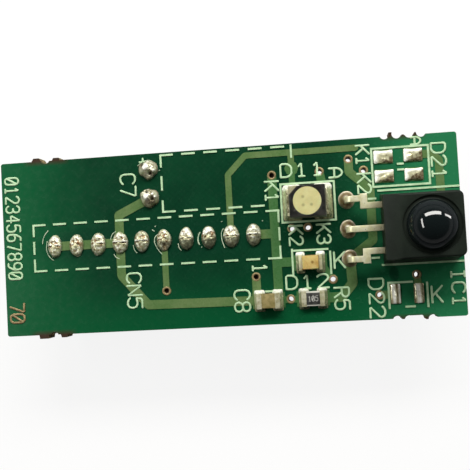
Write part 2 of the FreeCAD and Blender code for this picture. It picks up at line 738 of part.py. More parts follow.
def bent_wire(points, bend, diameter, sides=8):
    """A wire along straight runs joined by tangent arcs."""
    points = [FreeCAD.Vector(*point) for point in points]
    edges = []
    start = points[0]
    for before, corner, after in zip(points, points[1:], points[2:]):
        toward = (before - corner).normalize()
        away = (after - corner).normalize()
        half_turn = (math.pi - toward.getAngle(away)) / 2
        setback = bend * math.tan(half_turn)
        inward = (toward + away).normalize()
        centre = corner + inward * (bend / math.cos(half_turn))
        middle = centre - inward * bend
        edges.append(Part.LineSegment(start, corner + toward * setback).toShape())
        edges.append(Part.Arc(corner + toward * setback, middle, corner + away * setback).toShape())
        start = corner + away * setback
    edges.append(Part.LineSegment(start, points[-1]).toShape())
    facing = FreeCAD.Rotation(z_axis, points[1] - points[0])
    turns = [2 * math.pi * number / sides for number in range(sides + 1)]
    rim = [points[0] + facing.multVec(FreeCAD.Vector(math.cos(turn), math.sin(turn), 0) * (diameter / 2))
           for turn in turns]
    return Part.Wire(edges).makePipeShell([Part.makePolygon(rim)], True, False)


def make_wire(node, side):
    """A capacitor lead: out of the bung, spread to the holes and up through the board."""
    row = value(can_row)
    level = value(can_axis)
    face = value("can_start")
    exit_y = row + side * value("wire_exit") / 2
    hole_x, hole_y = wire_places[0 if side > 0 else 1]
    points = (
        (face + value("bung_length"), exit_y, level),
        (face - value("wire_size") / 2, exit_y, level),
        (hole_x, hole_y, level),
        (hole_x, hole_y, value(front_face) + value("wire_rise")),
    )
    return keep(node, feature_from(node, bent_wire(points, value("wire_size"), value("wire_size"))))


# Three-colour LED

rgb_places = dict(x="sizes.rgb_place_x", y="sizes.rgb_place_y", z=pad_face)


def make_rgb_terminal(number, side, row):
    """A strip that leaves the housing at its parting line and folds down and under it."""
    body = new_body(f"rgb_led_terminal_{number}", x=rgb_places["x"],
                    y=f"sizes.rgb_place_y + {row} * sizes.leg_pitch / 2", z=pad_face)
    if side < 0:
        body.Placement.Rotation = FreeCAD.Rotation(z_axis, 180)
    sketch = sketch_on(body, "XZ_Plane")
    face, skin = "sizes.rgb_length / 2", "sizes.rgb_length / 2 + sizes.leg_thick"
    over, under = "sizes.rgb_parting + sizes.leg_thick / 2", "sizes.rgb_parting - sizes.leg_thick / 2"
    root, foot = f"{face} - sizes.leg_root", f"{face} - sizes.leg_foot"
    outline(sketch, ((root, over), (skin, over), (skin, "0"), (foot, "0"), (foot, "sizes.leg_thick"),
                     (face, "sizes.leg_thick"), (face, under), (root, under)))
    pad(body, sketch, "sizes.leg_width", midplane=True)
    return keep(body.Name, body)


def make_rgb_housing(terminals):
    """Moulding drafted both ways from its parting line, with a cut corner and a conical cup."""
    body = new_body("rgb_blank", **rgb_places)
    for upward, length in ((True, "sizes.rgb_height - sizes.rgb_parting"),
                           (False, "sizes.rgb_parting - sizes.leg_thick")):
        sketch = sketch_on(body, "XY_Plane", "sizes.rgb_parting")
        rectangle(sketch, "sizes.rgb_length", "sizes.rgb_width")
        pad(body, sketch, length, reverse=not upward, taper="-sizes.rgb_draft")
    corner = sketch_on(body, "XY_Plane", "sizes.rgb_height")
    left, high = "-sizes.rgb_length / 2", "sizes.rgb_width / 2"
    outline(corner, ((left, high), (left, f"{high} - sizes.rgb_key"), (f"{left} + sizes.rgb_key", high)))
    pocket(body, corner, "sizes.rgb_key")
    cup = sketch_on(body, "XZ_Plane")
    outline(cup, cup_section())
    revolve(body, cup, "Groove")
    doc.recompute()
    shape = minus(body.Shape, *[terminal.Shape for terminal in terminals])
    return keep("rgb_led_housing", feature_from("rgb_housing", shape))


def cup_section():
    face, floor = "sizes.rgb_height", "sizes.rgb_height - sizes.cup_depth"
    return (("0", floor), ("sizes.cup_floor / 2", floor), ("sizes.cup_mouth / 2", face), ("0", face))


def make_rgb_dice():
    offset = (value("cup_floor") - value("rgb_die")) / 4
    floor = value(pad_face) + value("rgb_height") - value("cup_depth")
    side = value("rgb_die")
    die = plate(value("rgb_place_x"), value("rgb_place_y"), side, side, floor, value("die_thick"))
    places = ((-offset, offset), (-offset, -offset), (offset, -offset))
    return keep("rgb_led_dice", feature_from("rgb_dice", at_places(die, places)))


def make_rgb_window(dice):
    body = new_body("window_blank", **rgb_places)
    sketch = sketch_on(body, "XZ_Plane")
    outline(sketch, cup_section())
    revolve(body, sketch)
    doc.recompute()
    return keep("rgb_led_window", feature_from("rgb_window", minus(body.Shape, dice.Shape)))


# Chip parts

def make_end_cap(node, x, y, height, band, side):
    """A metal cap that wraps one end of a chip on five sides."""
    body = new_body(node, x=f"{x} + {side} * sizes.chip_length / 2", y=y, z=pad_face)
    if side > 0:
        body.Placement.Rotation = FreeCAD.Rotation(z_axis, 180)
    middle = f"{height} / 2 + sizes.cap_wall"
    outside = sketch_on(body, "YZ_Plane")
    rectangle(outside, "(sizes.chip_width + 2 * sizes.cap_wall)", f"({height} + 2 * sizes.cap_wall)",
              y=middle)
    pad(body, outside, band)
    inside = sketch_on(body, "YZ_Plane", band)
    rectangle(inside, "sizes.chip_width", height, y=middle)
    pocket(body, inside, f"{band} - sizes.cap_wall")
    return keep(node, body)


def make_chip_block(node, x, y, height, length="(sizes.chip_length - 2 * sizes.cap_wall)",
                    width="sizes.chip_width", lift="sizes.cap_wall", taper=None):
    body = new_body(node, x=x, y=y, z=f"{pad_face} + {lift}")
    sketch = sketch_on(body, "XY_Plane")
    rectangle(sketch, length, width)
    pad(body, sketch, height, taper=taper)
    return keep(node, body)


def make_end_caps(node, name, height, band="sizes.cap_band"):
    for side, hand in ((-1, "left"), (1, "right")):
        make_end_cap(f"{node}_{hand}", f"sizes.{name}_x", f"sizes.{name}_y", height, band, side)


def solder_fillet(x, y, side, rise, width):
    """A concave wedge of solder from its toe on the pad up the face of a terminal."""
    reach, foot = value("fillet_reach"), value("fillet_foot")
    base = value(pad_face)
    toe = FreeCAD.Vector(x + side * reach, y - width / 2, base + foot)
    crown = FreeCAD.Vector(x, y - width / 2, base + rise)
    sag = FreeCAD.Vector(x + side * reach * 0.36, y - width / 2, base + foot + (rise - foot) * 0.36)
    heel = FreeCAD.Vector(x, y - width / 2, base)
    front = FreeCAD.Vector(x + side * reach, y - width / 2, base)
    edges = [Part.LineSegment(heel, front).toShape(), Part.LineSegment(front, toe).toShape(),
             Part.Arc(toe, sag, crown).toShape(), Part.LineSegment(crown, heel).toShape()]
    return Part.Face(Part.Wire(edges)).extrude(FreeCAD.Vector(0, width, 0))


def make_chip_solder(node, name, rise):
    x, y = value(f"sizes.{name}_x"), value(f"sizes.{name}_y")
    width = value("chip_width") + 2 * value("cap_wall")
    wedges = [solder_fillet(x + side * value("chip_length") / 2, y, side, rise, width) for side in (-1, 1)]
    return keep(node, feature_from(node, Part.makeCompound(wedges)))


def make_rgb_solder():
    wedges = []
    for side in (-1, 1):
        x = value("rgb_place_x") + side * (value("rgb_length") / 2 + value("leg_thick"))
        for row in (-1, 1):
            y = value("rgb_place_y") + row * value("leg_pitch") / 2
            wedges.append(solder_fillet(x, y, side, value("rgb_parting") * 0.8, value("leg_width")))
    return keep("rgb_led_solder", feature_from("rgb_solder", Part.makeCompound(wedges)))


def make_chip_led_die(node="chip_led_die"):
    base = value(pad_face) + value("cap_wall") + value("chip_led_base")
    side = value("rgb_die")
    die = plate(value("chip_led_x"), value("chip_led_y"), side, side, base, value("die_thick"))
    return keep(node, feature_from("led_die", die))


def make_chip_led_lens(die):
    """The clear moulding between the end caps, drafted at its ends and round the die."""
    blank = make_chip_block("lens_blank", "sizes.chip_led_x", "sizes.chip_led_y", "sizes.chip_led_lens",
                            "(sizes.chip_length - 2 * sizes.led_band)", "sizes.chip_width",
                            "sizes.cap_wall + sizes.chip_led_base", "-sizes.lens_draft")
    doc.recompute()
    del parts["lens_blank"]
    return keep("chip_led_lens", feature_from("led_lens", minus(blank.Shape, die.Shape)))


# Infrared receiver

receiver_end = "(sizes.receiver_start + sizes.receiver_length)"
dome_x = f"({receiver_end} - sizes.dome_inset)"


def make_receiver_blank():
    """The moulding without its inserts: sloped lead end, rounded free corners, moat and dome."""
    body = new_body("receiver_blank", x=dome_x, y="sizes.receiver_row", z=pad_face)
    side = sketch_on(body, "XZ_Plane")
    near, far = "(sizes.dome_inset - sizes.receiver_length)", "sizes.dome_inset"
    face = "sizes.receiver_thick"
    outline(side, ((near, "0"), (far, "0"), (far, face), (f"{near} + sizes.receiver_slope", face),
                   (near, f"{face} - sizes.receiver_drop")))
    pad(body, side, "sizes.receiver_width", midplane=True)
    flanks = sketch_on(body, "YZ_Plane")
    for hand in (-1, 1):
        wall = f"{hand} * sizes.receiver_width / 2"
        outline(flanks, ((wall, "0"), (wall, face), (f"{wall} - {hand} * sizes.receiver_draft", face)))
    pocket(body, flanks, "2 * sizes.receiver_length", midplane=True)
    free_end, halfway = value("sizes.dome_inset") - 1e-4, value(face) / 2
    dress(body, "Fillet", lambda edge: edge.BoundBox.XMin > free_end and edge.BoundBox.ZLength > halfway,
          "Radius", "sizes.receiver_corner")
    level = value(face) - 1e-4
    dress(body, "Chamfer", lambda edge: edge.BoundBox.ZMin > level, "Size", "sizes.receiver_edge")
    inner, outer = "sizes.dome_size / 2", "sizes.dome_size / 2 + sizes.moat_width"
    floor = f"{face} - sizes.moat_depth"
    moat = sketch_on(body, "XZ_Plane")
    outline(moat, ((inner, floor), (outer, floor), (outer, face), (inner, face)))
    revolve(body, moat, "Groove")
    revolve(body, dome_sketch(body, inner, face), "Revolution")
    return body


def dome_sketch(body, radius, face):
    """Half section of the dome: a circular arc over the front face that meets the axis square."""
    rise = value("dome_rise")
    half = value(radius)
    bulge = (half ** 2 + rise ** 2) / (2 * rise)
    level = value(face)
    centre = FreeCAD.Vector(0, level + rise - bulge, 0)
    sketch = sketch_on(body, "XZ_Plane")
    foot, rim, top = (FreeCAD.Vector(*place, 0) for place in ((0, level), (half, level), (0, level + rise)))
    sketch.addGeometry(Part.LineSegment(foot, rim))
    start = math.atan2(level - centre.y, half)
    sketch.addGeometry(Part.ArcOfCircle(Part.Circle(centre, z_axis, bulge), start, math.pi / 2))
    sketch.addGeometry(Part.LineSegment(top, foot))
    for first, second in (((0, 2), (1, 1)), ((1, 2), (2, 1)), ((2, 2), (0, 1))):
        sketch.addConstraint(Sketcher.Constraint("Coincident", *first, *second))
    sketch.addConstraint(Sketcher.Constraint("PointOnObject", 1, 3, -2))
    for geometry, across, up in ((0, "0", face), (1, radius, face), (2, "0", f"{face} + sizes.dome_rise")):
        tie(sketch, "DistanceX", geometry, 1, across)
        tie(sketch, "DistanceY", geometry, 1, up)
    return sketch


def make_receiver_lead(node, side):
    """A stamped lead: root in the moulding, tie bar stub with its sideways step, bend and leg."""
    body = new_body(node, x="sizes.lead_hole_x", z=pad_face,
                    y=f"sizes.lead_hole_y + sizes.lead_shift + {side} * sizes.lead_hole_pitch")
    half = "sizes.lead_width / 2"
    heel = "-sizes.lead_thick / 2"
    root = "(sizes.receiver_start + sizes.lead_anchor - sizes.lead_hole_x)"
    plan = sketch_on(body, "XY_Plane", "sizes.lead_level")
    if side:
        step_in = f"{side} * (sizes.lead_exit_pitch - sizes.lead_hole_pitch)"
        low, high = f"{step_in} - {half}", f"{step_in} + {half}"
        near, far = (low, high) if side > 0 else (high, low)
        start, end = "sizes.jog_start", "sizes.jog_start + sizes.jog_length"
        beyond = f"{side} * ({half} + sizes.jog_margin)"
        outline(plan, ((heel, f"-{side} * {half}"), (start, f"-{side} * {half}"), (start, near), (root, near),
                       (root, far), (end, far), (end, beyond), (start, beyond), (start, f"{side} * {half}"),
                       (heel, f"{side} * {half}")))
    else:
        neck = f"{root} + sizes.lead_width"
        end = f"{neck} + sizes.paddle_length"
        wide = "sizes.paddle_width / 2"
        outline(plan, ((heel, f"-{half}"), (neck, f"-{half}"), (neck, f"-{wide}"), (end, f"-{wide}"),
                       (end, wide), (neck, wide), (neck, half), (heel, half)))
    pad(body, plan, "sizes.lead_thick")
    leg = sketch_on(body, "XY_Plane", "sizes.lead_level + sizes.lead_thick")
    rectangle(leg, "sizes.lead_thick", "sizes.lead_width")
    pad(body, leg, "sizes.lead_level + sizes.lead_thick + sizes.copper_thick + sizes.board_thick"
        " + sizes.lead_tail", reverse=True)
    bend_edge(body, "-sizes.lead_thick / 2", "sizes.lead_level + sizes.lead_thick", "sizes.lead_bend")
    bend_edge(body, "sizes.lead_thick / 2", "sizes.lead_level", "sizes.lead_bend - sizes.lead_thick")
    doc.recompute()
    return keep(node, body)


def bend_edge(body, x, z, radius):
    """Round the edge along Y at the given place of the lead's bend."""
    place_x, place_z = value(x), value(z)

    def chosen(edge):
        middle = edge.CenterOfMass
        at_place = abs(middle.x - place_x) < 1e-4 and abs(middle.z - place_z) < 1e-4
        return runs_along(edge, y_axis) and at_place

    return dress(body, "Fillet", chosen, "Radius", radius)


def make_wafer(node, x, size):
    """A sealed die on the paddle."""
    body = new_body(node, x=x, y="sizes.receiver_row", z=f"{pad_face} + sizes.lead_level + sizes.lead_thick")
    sketch = sketch_on(body, "XY_Plane")
    rectangle(sketch, size, size)
    pad(body, sketch, "sizes.wafer_thick")
    return keep(node, body)


def make_receiver_body(inserts):
    blank = make_receiver_blank()
    doc.recompute()
    shape = minus(blank.Shape, *[insert.Shape for insert in inserts])
    return keep("receiver_body", feature_from("receiver_moulding", shape))


def make_receiver_solder(leads):
    """Hollow-sided cones on both faces, joined by the solder that fills the hole."""
    foot, neck = value("cone_size") / 2, value("lead_width") * 0.75
    hole = value("lead_drill") / 2
    back, front = value(back_face) - value("copper_thick"), value(pad_face)
    flank = ((0, 1), (0.2, 0.6), (0.5, 0.25), (1, 0))
    section = [(neck + (foot - neck) * out, back - value("cone_back") * up) for up, out in flank[::-1]]
    section += [(hole, back), (hole, front)]
    section += [(neck + (foot - neck) * out, front + value("cone_rise") * up) for up, out in flank]
    cones = Part.makeCompound([faceted(section, x, y) for x, y in lead_places])
    joints = minus(cones, *[lead.Shape for lead in leads])
    return keep("receiver_solder", feature_from("receiver_joints", joints))


def make_spare_pad_tin():
    """Low cushions of solder on the pads that carry no part."""
    base, rise = value(pad_face), value("tin_rise")
    cushions = []
    for x, y, wide, tall in spare_pads:
        block = plate(x * step, y * step, wide * step, tall * step, base, rise)
        rims = [edge for edge in block.Edges if edge.BoundBox.ZMin > base + rise / 2]
        cushions.append(block.makeChamfer(rise * 0.7, rims))
    return keep("spare_pad_tin", feature_from("pad_tin", Part.makeCompound(cushions)))


# Build every piece

def shapes_of(items):
    return [item.Shape for item in items]


make_board()
via_barrels = make_via_barrels()
front_copper = make_front_copper()
make_back_copper()
make_silkscreen(front_copper, via_barrels)

make_header()
pins = [make_pin(number) for number in range(len(pin_places))]
doc.recompute()
solder_mounds("header_solder", "mound_width", "mound_length", "mound_rise", "pin_drill", pin_places,
              shapes_of(pins))

wires = [make_wire("capacitor_lead_plus", 1), make_wire("capacitor_lead_minus", -1)]
make_can()
make_sleeve()
make_winding()
bung_blank = make_bung()
doc.recompute()
del parts["bung_blank"]
keep("capacitor_bung", feature_from("bung", minus(bung_blank.Shape, *shapes_of(wires))))
solder_mounds("capacitor_solder", "blob_size", "blob_size", "blob_rise", "wire_drill", wire_places,
              shapes_of(wires))

corners = ((-1, 1), (-1, -1), (1, -1), (1, 1))
terminals = [make_rgb_terminal(number, side, row) for number, (side, row) in enumerate(corners, start=1)]
doc.recompute()
make_rgb_housing(terminals)
dice = make_rgb_dice()
make_rgb_window(dice)
make_rgb_solder()

make_end_caps("chip_led_terminal", "chip_led", "sizes.chip_led_base", "sizes.led_band")
make_chip_block("chip_led_base", "sizes.chip_led_x", "sizes.chip_led_y", "sizes.chip_led_base")
make_chip_led_lens(make_chip_led_die())
make_chip_solder("chip_led_solder", "chip_led", value("chip_led_base"))

make_end_caps("chip_capacitor_cap", "capacitor", "sizes.capacitor_height")
make_chip_block("chip_capacitor_body", "sizes.capacitor_x", "sizes.capacitor_y", "sizes.capacitor_height")
make_chip_solder("chip_capacitor_solder", "capacitor", value("capacitor_height") * 0.8)

make_end_caps("chip_resistor_cap", "resistor", "sizes.resistor_height")
make_chip_block("chip_resistor_body", "sizes.resistor_x", "sizes.resistor_y", "sizes.resistor_height")
make_chip_block("chip_resistor_coat", "sizes.resistor_x", "sizes.resistor_y", "sizes.coat_thick",
                "(sizes.chip_length - 2 * sizes.cap_band)", "(sizes.chip_width - 2 * sizes.coat_margin)",
                "sizes.cap_wall + sizes.resistor_height")
make_chip_solder("chip_resistor_solder", "resistor", value("resistor_height"))

leads = [make_receiver_lead(f"receiver_lead_{hand}", side)
         for side, hand in ((1, "upper"), (0, "middle"), (-1, "lower"))]
photodiode = make_wafer("photodiode_die", dome_x, "sizes.photodiode_size")
amplifier = make_wafer("amplifier_die", f"{dome_x} - (sizes.photodiode_size + sizes.amplifier_size) / 2"
                       " - sizes.wafer_thick", "sizes.amplifier_size")
doc.recompute()
make_receiver_body([*leads, photodiode, amplifier])
make_receiver_solder(leads)
make_spare_pad_tin()
doc.recompute()

# Check every object, then write each piece to its own file

for item in doc.Objects:
    if "Invalid" in item.State or "Error" in item.State:
        raise RuntimeError(f"{item.Label} failed: {item.State}")
for node, item in parts.items():
    if item.Shape.isNull() or not item.Shape.isValid() or not item.Shape.Solids:
        raise RuntimeError(f"{node} has no valid solid")
for node, item in parts.items():
    item.Shape.exportStep(f"parts/{node}.step")
    print(node, len(item.Shape.Solids), round(item.Shape.Volume, 3))
print(len(parts), "pieces")
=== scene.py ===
import json
import math

import bmesh
import bpy
from mathutils import Matrix, Vector, noise


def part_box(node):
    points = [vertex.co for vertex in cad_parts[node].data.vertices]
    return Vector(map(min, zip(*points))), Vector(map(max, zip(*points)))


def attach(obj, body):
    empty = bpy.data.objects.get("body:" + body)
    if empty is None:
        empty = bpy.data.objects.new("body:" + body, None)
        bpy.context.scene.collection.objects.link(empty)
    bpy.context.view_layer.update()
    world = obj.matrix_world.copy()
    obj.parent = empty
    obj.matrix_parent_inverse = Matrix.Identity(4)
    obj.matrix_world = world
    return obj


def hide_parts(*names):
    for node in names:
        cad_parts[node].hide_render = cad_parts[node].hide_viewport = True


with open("model.json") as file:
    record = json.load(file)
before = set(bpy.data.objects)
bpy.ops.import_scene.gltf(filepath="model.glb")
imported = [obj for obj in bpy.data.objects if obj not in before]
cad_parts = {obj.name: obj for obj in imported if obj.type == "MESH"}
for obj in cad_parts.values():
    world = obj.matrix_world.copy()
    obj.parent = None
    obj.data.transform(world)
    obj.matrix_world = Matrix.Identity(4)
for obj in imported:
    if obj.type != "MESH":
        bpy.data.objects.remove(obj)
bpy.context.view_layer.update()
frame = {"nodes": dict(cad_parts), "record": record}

mm = 0.001
body = "root"
nodes = frame["nodes"]
slotOf = {part["node"]: part["material_slot"] for part in frame["record"]["subparts"]}

boardLow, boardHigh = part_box("board")
frontFace = boardHigh.z
backFace = boardLow.z
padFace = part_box("front_copper")[1].z
routedEdge = 7.85 * mm  # half the board's width between the routed edges
print("frame loaded:", len(nodes), "nodes")


# Colours and node trees

def linear(level):
    share = level / 255
    return share / 12.92 if share <= 0.04045 else ((share + 0.055) / 1.055) ** 2.4


def paint(red, green, blue):  # a colour as a screen shows it, 0 to 255
    return (linear(red), linear(green), linear(blue), 1.0)


def put(tree, kind, inputs=None, **settings):  # a new node with its settings made and its inputs fed
    item = tree.nodes.new(kind)
    for key, setting in settings.items():
        setattr(item, key, setting)
    for socket, source in (inputs or {}).items():
        feed(tree, item.inputs[socket], source)
    return item


def feed(tree, target, source):  # a socket, or a plain number, vector or colour
    if isinstance(source, bpy.types.NodeSocket):
        tree.links.new(source, target)
    else:
        target.default_value = source


def maths(tree, operation, *sources, clamp=False):
    item = put(tree, "ShaderNodeMath", dict(enumerate(sources)), operation=operation, use_clamp=clamp)
    return item.outputs[0]


def times(tree, first, second):
    return maths(tree, "MULTIPLY", first, second)


def vectorMaths(tree, operation, *sources):
    return put(tree, "ShaderNodeVectorMath", dict(enumerate(sources)), operation=operation).outputs


def blendColours(tree, share, first, second):
    return put(tree, "ShaderNodeMix", {0: share, 6: first, 7: second}, data_type="RGBA").outputs[2]


def tint(tree, shown, share, colour, strength=1.0):  # a screen colour laid over what is shown
    laid = share if strength == 1.0 else times(tree, share, strength)
    return blendColours(tree, laid, shown, paint(*colour))


def spread(tree, source, low, high, fromLow=0.0, fromHigh=1.0, smooth=False):
    kind = "SMOOTHSTEP" if smooth else "LINEAR"
    ends = {0: source, 1: fromLow, 2: fromHigh, 3: low, 4: high}
    return put(tree, "ShaderNodeMapRange", ends, interpolation_type=kind).outputs[0]


def located(tree, what="Object"):  # x, y and z of the point on the object, or of its normal
    source = put(tree, "ShaderNodeTexCoord").outputs[what]
    return put(tree, "ShaderNodeSeparateXYZ", {0: source}).outputs


def sideMask(tree):  # 1 on faces that look neither up nor down
    return maths(tree, "LESS_THAN", maths(tree, "ABSOLUTE", located(tree, "Normal")[2]), 0.6)


def noiseAt(tree, scale, detail, place=None):
    place = place or put(tree, "ShaderNodeTexCoord").outputs["Object"]
    return put(tree, "ShaderNodeTexNoise", {"Vector": place, "Scale": scale, "Detail": detail}).outputs[0]


def newGroup(name, inputs, outputs, treeKind="ShaderNodeTree"):
    group = bpy.data.node_groups.new(name, treeKind)
    for label, kind, *start in inputs:
        socket = group.interface.new_socket(label, in_out="INPUT", socket_type=f"NodeSocket{kind}")
        if start:
            socket.default_value = start[0]
    for label, kind in outputs:
        group.interface.new_socket(label, in_out="OUTPUT", socket_type=f"NodeSocket{kind}")
    return group, put(group, "NodeGroupInput").outputs, put(group, "NodeGroupOutput").inputs


def makeMottle():
    group, given, made = newGroup("mottle", (
        ("Low", "Color", (0, 0, 0, 1)), ("High", "Color", (1, 1, 1, 1)), ("Size mm", "Float", 1.0),
        ("Speckle", "Float", 0.2),
    ), (("Color", "Color"),))
    scale = maths(group, "DIVIDE", 1 / mm, given["Size mm"])
    broad = spread(group, noiseAt(group, scale, 3.0), 0.0, 1.0, 0.32, 0.68)
    fine = maths(group, "SUBTRACT", noiseAt(group, times(group, scale, 9.0), 2.0), 0.5)
    speckle = times(group, times(group, fine, given["Speckle"]), 4.0)
    mask = maths(group, "ADD", broad, speckle, clamp=True)
    feed(group, made["Color"], blendColours(group, mask, given["Low"], given["High"]))
    return group


def makeGrain():
    group, given, made = newGroup("grain", (
        ("Size mm", "Float", 0.1), ("Rough low", "Float", 0.3), ("Rough high", "Float", 0.5),
        ("Stretch", "Vector", (1, 1, 1)),
    ), (("Height", "Float"), ("Roughness", "Float")))
    place = put(group, "ShaderNodeTexCoord").outputs["Object"]
    drawn = vectorMaths(group, "MULTIPLY", place, given["Stretch"])[0]
    height = noiseAt(group, maths(group, "DIVIDE", 1 / mm, given["Size mm"]), 4.0, drawn)
    feed(group, made["Height"], height)
    feed(group, made["Roughness"], spread(group, height, given["Rough low"], given["Rough high"], 0.3, 0.7))
    return group


def makeWear():
    group, given, made = newGroup("wear", (("Amount", "Float", 0.5),), (("Mask", "Float"),))
    edge = spread(group, put(group, "ShaderNodeNewGeometry").outputs["Pointiness"], 0.0, 1.0, 0.5, 0.6)
    patch = spread(group, noiseAt(group, 2600.0, 3.0), 0.0, 1.0, 0.4, 0.6)
    worn = times(group, edge, patch)
    feed(group, made["Mask"], maths(group, "MULTIPLY", worn, given["Amount"], clamp=True))
    return group


def makeSpot():
    group, given, made = newGroup("spot", (
        ("Centre mm", "Vector", (0, 0, 0)), ("Reach mm", "Vector", (1, 1, 1)), ("Inner", "Float", 0.5),
    ), (("Mask", "Float"),))  # 1 at the centre, falling to 0 at the reach along each axis
    place = put(group, "ShaderNodeTexCoord").outputs["Object"]
    inMm = vectorMaths(group, "MULTIPLY", place, (1 / mm,) * 3)[0]
    offset = vectorMaths(group, "SUBTRACT", inMm, given["Centre mm"])[0]
    share = vectorMaths(group, "DIVIDE", offset, given["Reach mm"])[0]
    length = vectorMaths(group, "LENGTH", share)["Value"]
    feed(group, made["Mask"], spread(group, length, 1.0, 0.0, given["Inner"], 1.0, smooth=True))
    return group


mottle, grain, wear, spot = makeMottle(), makeGrain(), makeWear(), makeSpot()
print("shader groups made")


def useGroup(tree, group, **settings):  # an underscore stands for the space in an input's name
    inputs = {label.replace("_", " "): setting for label, setting in settings.items()}
    return put(tree, "ShaderNodeGroup", inputs, node_tree=group).outputs


def spotMask(tree, centre, reach, inner):
    return useGroup(tree, spot, Centre_mm=centre, Reach_mm=reach, Inner=inner)["Mask"]


plainSockets = (  # an input of the shader, its name in a finish's settings and its usual value
    ("Metallic", "metallic", 0.0), ("IOR", "ior", 1.45), ("Specular IOR Level", "specular", 0.5),
    ("Coat Weight", "coat", 0.0), ("Coat Roughness", "coatRough", 0.1), ("Subsurface Weight", "scatter", 0.0),
    ("Subsurface Scale", "scatterReach", 0.3 * mm),
)


def makeFinish(name, settings):  # the common build: mottled colour, grained roughness and a fine bump
    material = bpy.data.materials.new(name)
    material.use_nodes = True
    tree = material.node_tree
    sockets = tree.nodes["Principled BSDF"].inputs
    shown = useGroup(tree, mottle, Low=paint(*settings["low"]), High=paint(*settings["high"]),
                     Size_mm=settings.get("size", 1.0), Speckle=settings.get("speckle", 0.2))["Color"]
    texture = useGroup(tree, grain, Size_mm=settings.get("grain", 0.12), Rough_low=settings["rough"][0],
                       Rough_high=settings["rough"][1], Stretch=settings.get("stretch", (1, 1, 1)))
    if "worn" in settings:
        edge = useGroup(tree, wear, Amount=settings.get("wear", 0.5))["Mask"]
        shown = tint(tree, shown, edge, settings["worn"])
    bump = put(tree, "ShaderNodeBump", {"Strength": settings.get("bump", 0.3), "Height": texture["Height"],
                                        "Distance": settings.get("depth", 0.01) * mm})
    feed(tree, sockets["Base Color"], shown)
    feed(tree, sockets["Roughness"], texture["Roughness"])
    feed(tree, sockets["Normal"], bump.outputs[0])
    for label, key, usual in plainSockets:
        sockets[label].default_value = settings.get(key, usual)
    return material, tree, sockets, shown


# Finishes that need nothing beyond the common build

plainFinishes = {
    "tin_plate": dict(low=(210, 206, 162), high=(236, 234, 190), size=0.9, rough=(0.26, 0.42), metallic=0.45,
                      grain=0.3, bump=0.15, worn=(246, 244, 226)),
    "chip_tin": dict(low=(146, 142, 108), high=(188, 184, 148), size=0.45, rough=(0.24, 0.4), metallic=0.3,
                     grain=0.2, bump=0.25, worn=(236, 234, 214)),
    "bare_copper": dict(low=(116, 98, 66), high=(160, 142, 102), size=0.35, rough=(0.35, 0.55), metallic=0.3,
                        grain=0.08, bump=0.4),
    "resin": dict(low=(26, 16, 10), high=(52, 34, 20), size=0.4, rough=(0.4, 0.6), specular=0.2),
    "flux_film": dict(low=(132, 158, 130), high=(206, 218, 190), size=0.5, rough=(0.2, 0.35), grain=0.1),
    "resistor_print": dict(low=(150, 150, 146), high=(196, 196, 190), size=0.3, rough=(0.5, 0.7), grain=0.05),
    "ink": dict(low=(158, 192, 150), high=(188, 216, 178), size=0.5, rough=(0.5, 0.7), grain=0.06, bump=0.5,
                speckle=0.5),
    "header_nylon": dict(low=(214, 206, 184), high=(234, 228, 208), size=2.5, rough=(0.38, 0.5), grain=0.15,
                         bump=0.3, scatter=0.1, worn=(244, 240, 226), wear=0.4),
    "can_metal": dict(low=(188, 190, 192), high=(216, 218, 220), size=1.2, rough=(0.2, 0.34), metallic=1.0,
                      grain=0.2, stretch=(0.12, 1, 1), bump=0.2),
    "bung_rubber": dict(low=(28, 28, 30), high=(44, 44, 46), size=0.8, rough=(0.6, 0.75), grain=0.1,
                        bump=0.5),
    "winding_paper": dict(low=(170, 150, 108), high=(196, 178, 136), size=1.0, rough=(0.7, 0.85)),
    "led_base": dict(low=(196, 176, 128), high=(216, 198, 152), size=0.5, rough=(0.45, 0.6)),
    "die": dict(low=(60, 58, 66), high=(96, 92, 104), size=0.3, rough=(0.2, 0.3), metallic=0.6),
    "capacitor_ceramic": dict(low=(111, 102, 58), high=(136, 124, 75), size=0.5, rough=(0.42, 0.58),
                              grain=0.07, bump=0.4, worn=(176, 158, 112)),
    "resistor_ceramic": dict(low=(186, 186, 176), high=(206, 206, 198), size=0.6, rough=(0.45, 0.6),
                             grain=0.06, bump=0.35),
    "resistor_coat": dict(low=(34, 34, 34), high=(52, 52, 50), size=0.4, rough=(0.3, 0.45), grain=0.07,
                          bump=0.3, worn=(96, 96, 92)),
}
finishes = {name: makeFinish(name, settings)[0] for name, settings in plainFinishes.items()}


# Board: green mask on both faces, bare laminate on the routed sides and the torn tabs

boardLook = {
    # light is the colour of the painted reflection on the right, leftLight lightens the left and the bottom
    "dark": (8, 48, 30), "plain": (12, 58, 36), "light": (38, 113, 74), "leftLight": (8, 83, 47),
    "laminate": (132, 118, 80), "laminateLow": (98, 84, 54), "torn": (60, 46, 36), "rowShade": (9, 50, 33),
    "lightSpan": (9.0, 18.5), "leftSpan": 10.0, "lowSpan": 6.0, "weave": 0.55, "tear": 0.45,
    "row": (12.5, 2.3, 6.0),  # reach of the shade round the header joints
    "bands": ((14.35, -4.0, 0.5, 0.8), (16.35, -4.4, 0.4, 0.7)),  # painted shade of the receiver in two strips: x, y and reach both ways
    "tabs": ((-16.0, 2.4, 0.6), (15.8, 2.2, 0.7)),  # torn tabs: x, reach and where each starts to fade
}


